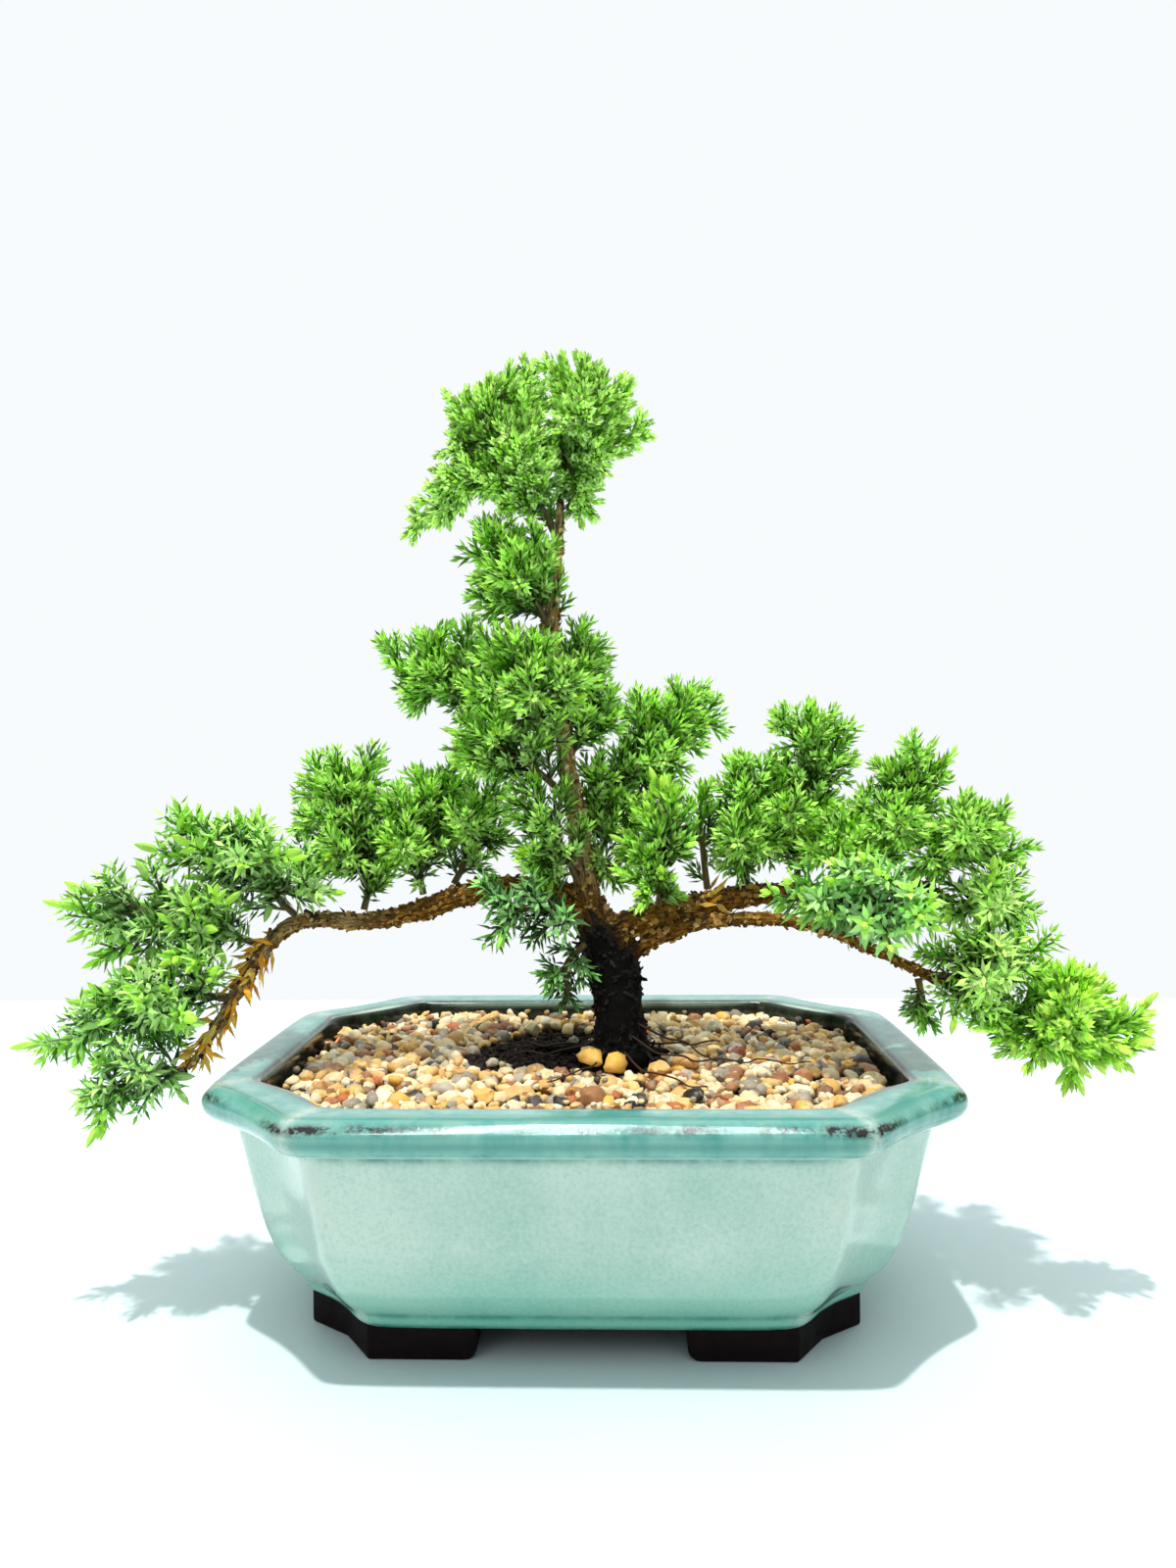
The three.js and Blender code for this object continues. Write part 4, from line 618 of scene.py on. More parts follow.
def stone_finish(name, stops):
    """Stones of one family: each has its own tone, faint veins and pits, and painted shade where it lies low
    between the others.
    """
    stone = Finish(name, 0.45)
    veins = stone.grain(330, 5, 0.65, 0.8)
    base = stone.ramp(stone.mark("tone"), stops)
    base = stone.mix(stone.spread(veins, 0.52, 0.72, 0, 0.5), base, (214, 200, 172))
    base = stone.mix(stone.spread(veins, 0.42, 0.28, 0, 0.35), base, (96, 70, 48))
    # Painted shade: the stones turn dark brown towards the bottom of the gravel, for the shade in the gaps
    # between them.
    gap_shade_level = stone.maths("MULTIPLY_ADD", stone.grain(200, 2, 0.5), 0.0012, stone.axis("Z"))
    base = stone.mix(stone.spread(gap_shade_level, 0.0648, 0.0624, 0, 0.88), base, (70, 50, 32))
    return stone.done_broken(base, 420, 2400, 0.42, 0.6, 0.42, 0.35, 0.35)


def bark_finish():
    """Fibrous bark: rusty on the limbs, tan on the stem, and painted black at the foot of the trunk as
    painted shade below the limbs.
    """
    bark = Finish("flaky_bark", 0.15)
    mix, spread, mark = bark.mix, bark.spread, bark.mark
    fibre = bark.grain(1, 5, 0.68, 0.6, where=mark("grain", "Vector"))
    lump = bark.grain(260, 4, 0.6)
    rust = bark.ramp(fibre, [(0.3, (22, 12, 3)), (0.44, (82, 52, 11)), (0.55, (150, 102, 30)),
                             (0.68, (220, 172, 80))])
    tan = bark.ramp(fibre, [(0.3, (40, 32, 20)), (0.45, (126, 104, 66)), (0.56, (186, 160, 112)),
                            (0.7, (236, 218, 180))])
    black = bark.ramp(fibre, [(0.3, (2, 2, 2)), (0.6, (6, 5, 4)), (0.8, (17, 14, 11))])
    colour = mix(mark("stem_part"), rust, tan)
    colour = mix(spread(lump, 0.52, 0.7, 0, 0.5), colour, (58, 38, 18))
    # Painted shade: the foot of the trunk turns black below the limbs.
    colour = mix(bark.plus(mark("foot_shade"), spread(lump, 0.3, 0.7, -0.25, 0.25), True), colour, black)
    bark.bump(bark.plus(fibre, bark.times(lump, 0.5)), 0.7, 0.5)
    return bark.done(colour, spread(fibre, 0.3, 0.7, 0.95, 0.72))


def dry_finish(name, stops):
    """Peeling bark, fine roots and dead leaves: each one has its own tone."""
    dry = Finish(name, 0.3)
    return dry.done_broken(dry.ramp(dry.mark("tone"), stops), 500, 2200, 0.7, 0.85, 0.6, 0.5, 0.25)


def leaf_finish(name, old, grown, tip, fresh, band, band_amount, keel_shade):
    """Juniper needles: each with its own tone, old ones dark and those near the twig darker as painted shade,
    buds lime, a pale waxy upper face and painted shade on the other faces.
    """
    leaf = Finish(name, 0.4)
    mix, spread, mark = leaf.mix, leaf.spread, leaf.mark
    age_and_shade, tone, upper = mark("age_and_shade"), mark("tone"), mark("upper")
    green = leaf.ramp(age_and_shade, [(0, old), (0.42, grown), (0.7, tip), (1, fresh)])
    shade = mix(spread(age_and_shade, 0.75, 1, 0, 0.75), spread(tone, 0, 1, 0.3, 2.35), (255, 255, 255))
    green = mix(1, green, shade, "MULTIPLY")
    # Painted shade: the faces other than the flat upper one, and the green shoots, are darkened towards the
    # old colour.
    green = mix(spread(upper, 0, 1, keel_shade, 0), green, old)
    pale = leaf.maths("MAXIMUM", upper, spread(tone, 0.72, 1, 0, 0.7))
    wax = leaf.times(pale, spread(age_and_shade, 1, 0.5, 0.4 * band_amount, band_amount))
    wood = mix(leaf.grain(900, 3, 0.6), (54, 40, 20), (118, 98, 50))
    colour = mix(mark("woody"), mix(wax, green, band), wood)
    leaf.bump(leaf.grain(1600, 2, 0.5), 0.2, 0.15)
    return leaf.done(colour, spread(tone, 0, 1, 0.5, 0.36))


# Pot

def plan_size(inset):
    """Half length and half width of the pot's plan at an inset, and the size of its corner cut."""
    return POT_LENGTH / 2 - inset, POT_WIDTH / 2 - inset, CORNER_CUT - CUT_SHRINK * inset


def plan_inset(x, y):
    """Inset of a place from the top outer edge of the pot's plan, in millimetres."""
    side = np.minimum(POT_LENGTH / 2 - np.abs(x), POT_WIDTH / 2 - np.abs(y))
    corner = (POT_LENGTH / 2 + POT_WIDTH / 2 - CORNER_CUT - np.abs(x) - np.abs(y)) / (2 - CUT_SHRINK)
    return np.minimum(side, corner)


def pot_ring(inset):
    """Plan of the pot at one inset: two soft points at each upright edge, hollow corners between."""
    half_x, half_y, cut = plan_size(inset)
    ring = []
    for sx, sy in ((1, 1), (-1, 1), (-1, -1), (1, -1)):
        front, side = np.array((half_x - cut, half_y)), np.array((half_x, half_y - cut))
        points = [front + (-EDGE_SOFTNESS, 0)]
        shares = (EDGE_SOFTNESS / (cut * math.sqrt(2)), 0.3, 0.5, 0.7)
        for t in shares + (1 - shares[0],):
            inward = CORNER_HOLLOW * 4 * t * (1 - t) * math.sqrt(0.5)
            points.append(front * (1 - t) + side * t - inward)
        points.append(side + (0, -EDGE_SOFTNESS))
        ring += [(sx * x, sy * y) for x, y in points]
    ring += [(share * half_x, sy * half_y) for share in (-0.35, 0, 0.35) for sy in (-1, 1)]
    ring += [(sx * half_x, 0) for sx in (-1, 1)]
    return sorted(ring, key=lambda place: math.atan2(place[1], place[0]))


def lay_ring(inset, height):
    """Moves the selected ring of points onto the pot's plan."""
    mesh = bpy.context.active_object.data
    work = bmesh.from_edit_mesh(mesh)
    ring = sorted((v for v in work.verts if v.select), key=lambda v: math.atan2(v.co.y, v.co.x))
    for vertex, (x, y) in zip(ring, pot_ring(inset)):
        vertex.co = Vector((x, y, height)) * MM
    bmesh.update_edit_mesh(mesh)


def make_bowl():
    """The glazed bowl: a plan at the middle of the base, drawn out and up over the rim and down inside."""
    bpy.ops.mesh.primitive_circle_add(vertices=len(pot_ring(POT_PROFILE[0][0])), radius=0.05,
                                      fill_type="NGON", location=(0, 0, 0))
    bowl = bpy.context.active_object
    bowl.name = "glazed_bowl"
    start_edit()
    lay_ring(*POT_PROFILE[0])
    for inset, height in POT_PROFILE[1:]:
        bpy.ops.mesh.extrude_region_move(TRANSFORM_OT_translate={"value": (0, 0, MM)})
        lay_ring(inset, height)
    end_solid()
    apply_modifier(bowl, "SUBSURF", levels=2, render_levels=2)
    for side in (-1, 1):
        bpy.ops.mesh.primitive_cylinder_add(vertices=48, radius=HOLE_RADIUS * MM, depth=20 * MM,
                                            location=(side * HOLE_SPACING / 2 * MM, 0, 11.5 * MM))
        drill = bpy.context.active_object
        start_edit()
        end_solid()
        settle(drill)
        apply_modifier(bowl, "BOOLEAN", object=drill, operation="DIFFERENCE", solver="EXACT")
        bpy.data.objects.remove(drill)
    shade_by_angle(bowl, 40)
    mark_glaze(bowl)
    finish_with(bowl, celadon_glaze())
    return bowl


# Where the glaze pools: inset and height of each line, its reach, and how much. The first line, in the
# undercut below the lip, is also painted shade under the lip.
POOLS = [(5.2, 58.4, 1.6, 1), (-2.2, 63.2, 1.7, 0.45), (20.6, 13, 1.1, 0.75), (23.2, 8.8, 1.3, 0.8),
         (9.4, 69, 1.2, 0.4)]


def mark_glaze(bowl):
    """Where the glaze pools, thins and breaks, and where shade and a highlight are painted, from the place of
    each point on the bowl.
    """
    points, normals = surface_of(bowl)
    x, y, z = points.T
    inset = plan_inset(x, y)

    def near(inset_at, height_at, reach):
        return np.exp(-((inset - inset_at) ** 2 + (z - height_at) ** 2) / reach ** 2)

    def ramp_up(value, start, length):
        return np.clip((value - start) / length, 0, 1)

    half_x, half_y, cut = plan_size(inset)
    from_edge = np.minimum(np.hypot(np.abs(x) - (half_x - cut), np.abs(y) - half_y),
                           np.hypot(np.abs(x) - half_x, np.abs(y) - (half_y - cut)))
    outside = (inset < 10.4) | (z < 14.9)
    inwards = normals[:, 0] * x + normals[:, 1] * y < 0
    right_front = ramp_up(x, 12, 25) * (y < 0)
    rim_edge = near(-1.1, 67.1, 1.25) * (0.4 + 0.9 * np.exp(-(from_edge / 20) ** 2) + 0.5 * right_front)
    pooled_and_shade = sum(near(*place, reach) * amount for *place, reach, amount in POOLS)
    pooled_and_shade = pooled_and_shade + near(2.4, 69, 2.4) * 0.6 * ramp_up(-y, 40, 20)
    marks = {
        "rim_top": np.clip((normals[:, 2] - 0.55) * 3, 0, 1) * (inset < 11.4) * (z > 60),
        "rim_edge": rim_edge,
        "inner_line": near(11.2, 68.5, 1.0),
        "inner_wall": ramp_up(inset, 11.3, 0.7) * inwards * (z > 14.5) * (z < 68.2),
        "pooled_and_shade": np.clip(pooled_and_shade, 0, 1) * outside,
        "corner_highlight": np.exp(-(from_edge / 2.2) ** 2) * outside,
        "lip": ramp_up(z, 58.3, 0.8) * (inset < 11),
        "bare_base": ramp_up(inset, 24, 0.8) * (z < 14),
    }
    for name, values in marks.items():
        put_attribute(bowl, name, values)


def make_foot(sx, sy):
    """One clay foot that wraps a corner of the pot."""
    half_x, half_y, cut = plan_size(FOOT_INSET)
    end_x, end_y = half_x - cut - FOOT_RUN_FRONT, half_y - cut - FOOT_RUN_SIDE
    bend = cut / 2 + CORNER_HOLLOW * math.sqrt(0.5)
    inner_bend, inner_cut = bend + FOOT_DEPTH * 0.75, cut + FOOT_DEPTH * 0.3
    loop = [
        (end_x, half_y), (half_x - cut, half_y), (half_x - bend, half_y - bend), (half_x, half_y - cut),
        (half_x, end_y), (half_x - FOOT_DEPTH, end_y), (half_x - FOOT_DEPTH, half_y - inner_cut),
        (half_x - inner_bend, half_y - inner_bend), (half_x - inner_cut, half_y - FOOT_DEPTH),
        (end_x, half_y - FOOT_DEPTH),
    ]
    bpy.ops.mesh.primitive_circle_add(vertices=len(loop), radius=0.05, fill_type="NGON", location=(0, 0, 0))
    foot = bpy.context.active_object
    for vertex, (x, y) in zip(foot.data.vertices, loop):
        vertex.co = Vector((sx * x, sy * y, 0)) * MM
    start_edit()
    height = (FOOT_HEIGHT + FOOT_OVERLAP) * MM
    bpy.ops.mesh.extrude_region_move(TRANSFORM_OT_translate={"value": (0, 0, height)})
    bpy.ops.mesh.select_all(action="SELECT")
    bpy.ops.mesh.normals_make_consistent(inside=False)
    for axis, end in ((0, end_x), (1, end_y)):
        pick(lambda place: place.z < 0.01 * MM and abs(abs(place[axis]) - end * MM) < 0.01 * MM)
        bpy.ops.mesh.bevel(offset=3.2 * MM, segments=5, affect="EDGES")
    bpy.ops.mesh.select_mode(type="EDGE")
    bpy.ops.mesh.select_all(action="DESELECT")
    bpy.ops.mesh.edges_select_sharp(sharpness=math.radians(30))
    bpy.ops.mesh.bevel(offset=0.8 * MM, segments=3, affect="EDGES", clamp_overlap=True)
    bpy.ops.mesh.select_mode(type="VERT")
    bpy.ops.mesh.select_all(action="SELECT")
    bpy.ops.mesh.quads_convert_to_tris()
    bpy.ops.mesh.subdivide(number_cuts=1)
    end_edit()
    return foot


def make_feet():
    """The four feet as one piece, a little uneven above the faces that they stand on."""
    feet = [make_foot(sx, sy) for sx in (-1, 1) for sy in (-1, 1)]
    select_only(feet[0])
    for foot in feet[1:]:
        foot.select_set(True)
    bpy.ops.object.join()
    feet[0].name = "bare_clay_feet"
    for vertex in feet[0].data.vertices:
        lump = noise.noise(vertex.co / MM * 0.22)
        if vertex.co.z > 0.5 * MM:
            vertex.co.z = max(vertex.co.z + 0.25 * lump * MM, 0.5 * MM)
    shade_by_angle(feet[0], 35)
    finish_with(feet[0], dark_clay())
    return feet[0]


# Filling

def model_stone(number, rings):
    """A worn stone one unit across: a ball pulled out of round, with flats cut off it by a few planes."""
    draw = np.random.default_rng(STONE_SHAPE_SEED + number)
    bpy.ops.mesh.primitive_uv_sphere_add(segments=rings + 3, ring_count=rings, radius=0.56)
    start_edit()
    bpy.ops.transform.vertex_random(offset=0.09, uniform=0.8, normal=0.2, seed=number)
    for way in unit(draw.normal(0, 1, (3, 3))):
        bpy.ops.mesh.select_all(action="SELECT")
        bpy.ops.mesh.bisect(plane_co=way * draw.uniform(0.32, 0.45), plane_no=way, use_fill=True,
                            clear_outer=True)
    bpy.ops.mesh.select_all(action="SELECT")
    bpy.ops.mesh.remove_doubles(threshold=0.09)
    end_solid()
    return take_model()


def model_crumb(number):
    """A crumb of peat: a small ball with few faces, pulled out of round."""
    bpy.ops.mesh.primitive_ico_sphere_add(subdivisions=1, radius=0.5)
    start_edit()
    bpy.ops.transform.vertex_random(offset=0.16, uniform=0.8, normal=0.2, seed=number)
    end_edit()
    return take_model()


def random_turns(draw, count, tumble):
    """Turned axes for loose bits, with their short side mostly upright where they tumble little."""
    heading = draw.uniform(0, 2 * math.pi, count)
    tilt = draw.normal(0, tumble, (count, 2))
    under = unit(np.column_stack([tilt, np.ones(count)]))
    across = np.column_stack([np.cos(heading), np.sin(heading), np.zeros(count)])
    across = unit(across - under * np.sum(across * under, axis=1, keepdims=True))
    return across, under, np.cross(across, under)


# Share of the stones and colours of each family
STONE_FAMILIES = {
    "cream_stones": (0.44, [(0, (255, 232, 184)), (0.35, (246, 214, 158)), (0.7, (255, 246, 214)),
                            (1, (236, 200, 142))]),
    "tan_stones": (0.26, [(0, (234, 184, 104)), (0.4, (246, 208, 134)), (0.7, (220, 172, 106)),
                          (1, (250, 196, 84))]),
    "grey_stones": (0.12, [(0, (178, 166, 146)), (0.4, (142, 130, 114)), (0.7, (204, 192, 170)),
                           (1, (114, 104, 92))]),
    "brown_stones": (0.12, [(0, (160, 112, 70)), (0.4, (192, 134, 88)), (0.7, (130, 90, 58)),
                            (1, (204, 116, 66))]),
    "dark_stones": (0.06, [(0, (60, 54, 46)), (0.5, (42, 37, 33)), (1, (86, 76, 64))]),
}
TAN_PLACE = 0.5
# Layers of stones: height, pitch, smallest and largest stone, and whether they have few faces
STONE_LAYERS = [(GRAVEL_LEVEL - 1.6, 4.6, 4.4, 6.2, True), (GRAVEL_LEVEL + 1.1, 4.5, 3.2, 6.4, False),
                (GRAVEL_LEVEL + 2.4, 6.2, 1.6, 3.2, True)]
FINE_MODELS, COARSE_MODELS = 7, 3
STONE_JITTER, STONE_HEIGHT_JITTER = 1.2, 0.6
BIG_STONE_ODDS, BIG_STONE_SIZE = 0.07, 1.3
# Stones in the bare ovals: how far out they count as in one, their odds and how much higher they lie
OVAL_EDGE, STRAY_ODDS, STRAY_LIFT = 1.02, 0.16, 1.4
TRUNK_ROOM = 12
STONE_SEED, STONE_SHAPE_SEED, PEAT_SEED = 41, 300, 7
# Places where the peat shows between the stones: middle and reach of each oval, and its share of crumbs
PEAT_OVALS = [(PEAT_MIDDLE, PEAT_REACH, 6), ((15, -2), (17, 15), 3), ((-24, -4), (13, 8), 1),
              ((-9, 24), (18, 17), 4)]
CRUMBS_PER_SHARE = 110


def in_peat(x, y):
    """How far out in the nearest oval of bare peat a place lies: 1 is the oval's edge."""
    return min(math.hypot((x - middle[0]) / reach[0], (y - middle[1]) / reach[1])
               for middle, reach, _ in PEAT_OVALS)


def strew_stones(draw):
    """Places, spans and kinds of the stones, which leave out most of the peat and the trunk."""
    stones = []
    for level, pitch, small, large, few_faces in STONE_LAYERS:
        rise = pitch * math.sqrt(3) / 2
        rows, columns = int(POT_WIDTH / 2 / rise) + 1, int(POT_LENGTH / 2 / pitch) + 1
        for row in range(-rows, rows + 1):
            for column in range(-columns, columns + 1):
                x = (column + 0.5 * (row % 2)) * pitch + draw.uniform(-STONE_JITTER, STONE_JITTER)
                y = row * rise + draw.uniform(-STONE_JITTER, STONE_JITTER)
                span = draw.uniform(small, large) * (BIG_STONE_SIZE if draw.random() < BIG_STONE_ODDS else 1)
                if plan_inset(x, y) < GRAVEL_INSET + span * 0.42:
                    continue
                oval, trunk = in_peat(x, y), math.hypot(x - TRUNK[0][0], y - TRUNK[0][1])
                odds = STRAY_ODDS if oval > 0.5 and trunk > TRUNK_ROOM + 1 else 0
                if (oval < OVAL_EDGE or trunk < TRUNK_ROOM) and draw.random() > odds:
                    continue
                z = level + (STRAY_LIFT if oval < OVAL_EDGE else 0) + draw.normal(0, STONE_HEIGHT_JITTER)
                stones.append((x, y, z, span, few_faces))
    stones += [disc + (False,) for disc in DISC_STONES]
    stones = np.array(stones)
    return stones[:, :3], stones[:, 3], stones[:, 4] > 0


def lay_stones():
    """Loose stones of all sizes between the peat and the wall of the pot, by family of colour."""
    draw = np.random.default_rng(STONE_SEED)
    models = [model_stone(number, 6 if number < FINE_MODELS else 4)
              for number in range(FINE_MODELS + COARSE_MODELS)]
    places, spans, few_faces = strew_stones(draw)
    count = len(places)
    across, under, forward = random_turns(draw, count, 0.4)
    width, thickness = spans * draw.uniform(0.7, 1, count), spans * draw.uniform(0.5, 0.85, count)
    sizes = np.column_stack([width, thickness, spans])
    family = draw.random(count)
    family[-len(DISC_STONES):] = TAN_PLACE
    which = np.where(few_faces, draw.integers(FINE_MODELS, len(models), count),
                     draw.integers(0, FINE_MODELS, count))
    pieces, start = [], 0.0
    for name, (share, stops) in STONE_FAMILIES.items():
        shapes, tones, smooth = [], [], []
        for number, model in enumerate(models):
            own = (family >= start) & (family < start + share) & (which == number)
            shapes.append(copies(model, places[own], across[own], under[own], forward[own], sizes[own]))
            tones.append(np.repeat(draw.random(int(own.sum())), len(model[0])))
            smooth.append(np.full(len(shapes[-1][1]), number % 5 != 0))
        piece = mesh_piece(name, *joined(shapes), np.concatenate(smooth))
        put_attribute(piece, "tone", np.concatenate(tones))
        finish_with(piece, stone_finish(name + "_finish", stops))
        pieces.append(piece)
        start += share
    return pieces


def make_mound():
    """A low mound of peat round the foot of the trunk: a disc with many rings, raised and made lumpy."""
    bpy.ops.mesh.primitive_circle_add(vertices=72, radius=1, fill_type="NGON", location=(0, 0, 0))
    mound = bpy.context.active_object
    mound.name = "peat_mound"
    start_edit()
    bpy.ops.mesh.extrude_region_move(TRANSFORM_OT_translate={"value": (0, 0, 0.1)})
    for _ in range(16):
        bpy.ops.mesh.inset(thickness=0.058)
    end_solid()
    for vertex in mound.data.vertices:
        away = min(math.hypot(vertex.co.x, vertex.co.y), 1)
        x, y = (middle + share * (reach + 3)
                for middle, share, reach in zip(PEAT_MIDDLE, vertex.co, PEAT_REACH))
        z = PEAT_FOOT
        if vertex.co.z > 0.05:
            broad, small = noise.noise(Vector((x * 0.25, y * 0.25, 1))), noise.noise(Vector((x, y, 5)) * 0.8)
            z = PEAT_TOP + 0.6 - 4.2 * away ** 3 + (0.9 * broad + 0.5 * small)
        vertex.co = Vector((x, y, z)) * MM
    shade_by_angle(mound, 60)
    finish_with(mound, peat_finish("black_peat", (12, 10, 9), (44, 34, 26)))
    return mound


def lay_crumbs():
    """Loose crumbs of peat over the mound and the other bare ovals."""
    draw = np.random.default_rng(PEAT_SEED)
    models = [model_crumb(number) for number in range(4)]
    numbers = [share * CRUMBS_PER_SHARE for _, _, share in PEAT_OVALS]
    middles = np.repeat([middle for middle, _, _ in PEAT_OVALS], numbers, axis=0)
    reaches = np.repeat([reach for _, reach, _ in PEAT_OVALS], numbers, axis=0)
    count = len(middles)
    turn, away = draw.uniform(0, 2 * math.pi, count), np.sqrt(draw.uniform(0, 1, count)) * 1.08
    x = middles[:, 0] + np.cos(turn) * away * reaches[:, 0]
    y = middles[:, 1] + np.sin(turn) * away * reaches[:, 1]
    inner = np.hypot((x - PEAT_MIDDLE[0]) / PEAT_REACH[0], (y - PEAT_MIDDLE[1]) / PEAT_REACH[1])
    z = PEAT_TOP + 0.9 - 2.2 * np.minimum(inner, 1) ** 3 + draw.normal(0, 0.4, count)
    places = np.column_stack([x, y, z])
    spans = draw.uniform(0.7, 2.4, count) * np.where(draw.random(count) < 0.08, 1.6, 1)
    across, under, forward = random_turns(draw, count, 0.8)
    thickness, length = spans * draw.uniform(0.35, 0.8, count), spans * draw.uniform(1, 1.9, count)
    sizes = np.column_stack([spans * 0.8, thickness, length])
    shapes = []
    for number, model in enumerate(models):
        own = np.arange(count) % len(models) == number
        shapes.append(copies(model, places[own], across[own], under[own], forward[own], sizes[own]))
    crumbs = mesh_piece("peat_crumbs", *joined(shapes))
    finish_with(crumbs, peat_finish("peat_crumb", (16, 12, 10), (66, 48, 34)))
    return crumbs


# Wood

WOOD = [("trunk", TRUNK), ("stem", STEM), ("left", LEFT_LIMB), ("right", RIGHT_LIMB), ("lower", LOWER_LIMB)]
WOOD += [("root", root) for root in ROOTS]
GRAIN_OFFSETS = {name: 40 * number for number, name in enumerate(dict(WOOD))}
VOXEL = 0.78
BARK_SEED, FLAKES, BARK_CRUMBS = 19, 1500, 1500
DEAD_LEAF_SEED, BROWN_LEAVES, ORANGE_LEAVES, SPRIG_LEAVES = 23, 120, 105, 8
# Root hairs that come out of the peat and off the foot of the trunk, and their thickness at both ends
ROOT_HAIRS = [
    [(16, -9, 76), (24, -10, 73), (33, -12, 69.6), (38, -12.5, 66.5)],
    [(14, -11, 73), (22, -15, 69.5), (34, -17, 68.2), (52, -16, 67.6), (64, -17, 67)],
    [(6, -12, 70), (3, -20, 67.6), (-2, -28, 67.4), (-10, -33, 66.4)],
    [(12, -13, 69), (16, -24, 67.6), (24, -33, 67.2), (33, -38, 66)],
    [(4, -6, 72), (-4, -8, 69), (-16, -7, 67.6), (-25, -2, 66.6)],
    [(2, 0, 69), (-10, 3, 67.6), (-22, 8, 67), (-30, 14, 65.4)],
    [(5, 6, 69), (0, 16, 67), (-9, 22, 66), (-18, 24, 65)],
    [(17, -1, 70), (26, 3, 67.8), (36, 9, 67), (43, 15, 65.6)],
]
HAIR_START, HAIR_THINNING = 0.36, 0.22


def below_foot_shade(place):
    """How far a place lies below the edge of the painted shade on the trunk's foot, which is highest on its
    middle.
    """
    below = SHADED_FOOT_TOP - place[2] - 0.9 * abs(place[0] - TRUNK[-2][0])
    return below + 2.5 * noise.noise(Vector(place) * 0.3)


def make_wood():
    """Trunk, stem, limbs and roots grown into one skin, with bark ridges that run along each limb."""
    lines = [(name, smooth_line(points)) for name, points in WOOD]
    tubes = [tube(line[:, :3], line[:, 3] * 0.97, 16) for _, line in lines]
    wood = mesh_piece("bark_skin", *joined(tubes), smooth=True)
    apply_modifier(wood, "REMESH", mode="VOXEL", voxel_size=VOXEL * MM, use_smooth_shade=True)
    apply_modifier(wood, "SMOOTH", factor=0.5, iterations=3)

    tree = KDTree(sum(len(line) for _, line in lines))
    samples = []
    for name, line in lines:
        forward, run = unit(np.gradient(line[:, :3], axis=0)), run_along(line[:, :3])
        across = unit(np.cross(forward, (0.13, 0.97, 0.21)))
        for index, point in enumerate(line):
            tree.insert(Vector(point[:3]), len(samples))
            samples.append((name, point, forward[index], across[index], run[index]))
    tree.balance()

    places, normals = surface_of(wood)
    grain_places, stem_part, foot_shade, raised, headings = [], [], [], [], []
    for place in places:
        name, middle, forward, across, run = samples[tree.find(Vector(place))[1]]
        away = place - middle[:3]
        run = run + float(np.dot(away, forward))
        sideways = (float(np.dot(away, across)), float(np.dot(away, np.cross(forward, across))))
        offset = GRAIN_OFFSETS[name]
        thick = float(middle[3])
        along = Vector((run * 0.13 + offset, sideways[0] * 0.9, sideways[1] * 0.9))
        bend = min(max((-56 - place[0]) / 16, 0), 0.75) if name == "left" else 0
        ridge = 1 - 2 * abs(noise.noise(along * 1.1))
        wrinkle = noise.noise(Vector((run * 0.9 + offset, sideways[0] * 0.35, sideways[1] * 0.35)))
        lump, crumb = noise.noise(Vector(place) * 0.16), noise.noise(Vector(place) * 0.62)
        headings.append(forward)
        grain_places.append(along)
        stem_part.append(min(max((place[2] - 112) / 12, 0), 1) if name == "stem" else bend)
        foot_shade.append(min(max(below_foot_shade(place) / 9, 0), 1.4))
        raised.append((0.10 * thick ** 0.6 + 0.05) * (ridge - 0.35) + 0.14 * wrinkle + 0.07 * thick * lump
                      + 0.3 * crumb)
    places = places + normals * np.array(raised)[:, None]
    wood.data.vertices.foreach_set("co", (places * MM).ravel())
    wood.data.update()
    put_attribute(wood, "grain", np.array(grain_places) * 1.6, kind="FLOAT_VECTOR")
    put_attribute(wood, "stem_part", stem_part)
    put_attribute(wood, "foot_shade", foot_shade)
    finish_with(wood, bark_finish())
    return wood, np.array(headings)


def model_flake():
    """A thin curled flake of bark: a slab cut across, narrowed and bowed."""
    bpy.ops.mesh.primitive_cube_add(size=1, location=(0, 0, 0.5))
    start_edit()
    bpy.ops.mesh.bisect(plane_co=(0, 0, 0.5), plane_no=(0, 0, 1))
    for height, width, bow in ((0.0, 0.8, 0.0), (0.5, 1.0, -0.5), (1.0, 0.6, 0.9)):
        pick(lambda place: abs(place.z - height) < 0.01)
        bpy.ops.transform.resize(value=(width, 1, 1))
        bpy.ops.transform.translate(value=(0, bow, 0))
    end_edit()
    return take_model()


def model_needle(widest=0.42, depth=0.6):
    """A juniper leaf one unit long: pointed at both ends, flat above, keeled below."""
    bpy.ops.mesh.primitive_cone_add(vertices=3, radius1=0.577, radius2=0, depth=1 - widest,
                                    end_fill_type="NGON", location=(0, 0, (1 + widest) / 2))
    start_edit("DESELECT")
    pick(lambda place: place.z < widest + 0.01)
    bpy.ops.mesh.extrude_region_move(TRANSFORM_OT_translate={"value": (0, 0, -widest)})
    bpy.ops.mesh.merge(type="CENTER")
    bpy.ops.mesh.select_all(action="SELECT")
    bpy.ops.transform.resize(value=(1, depth, 1), center_override=(0, 0, 0))
    end_solid()
    return take_model()


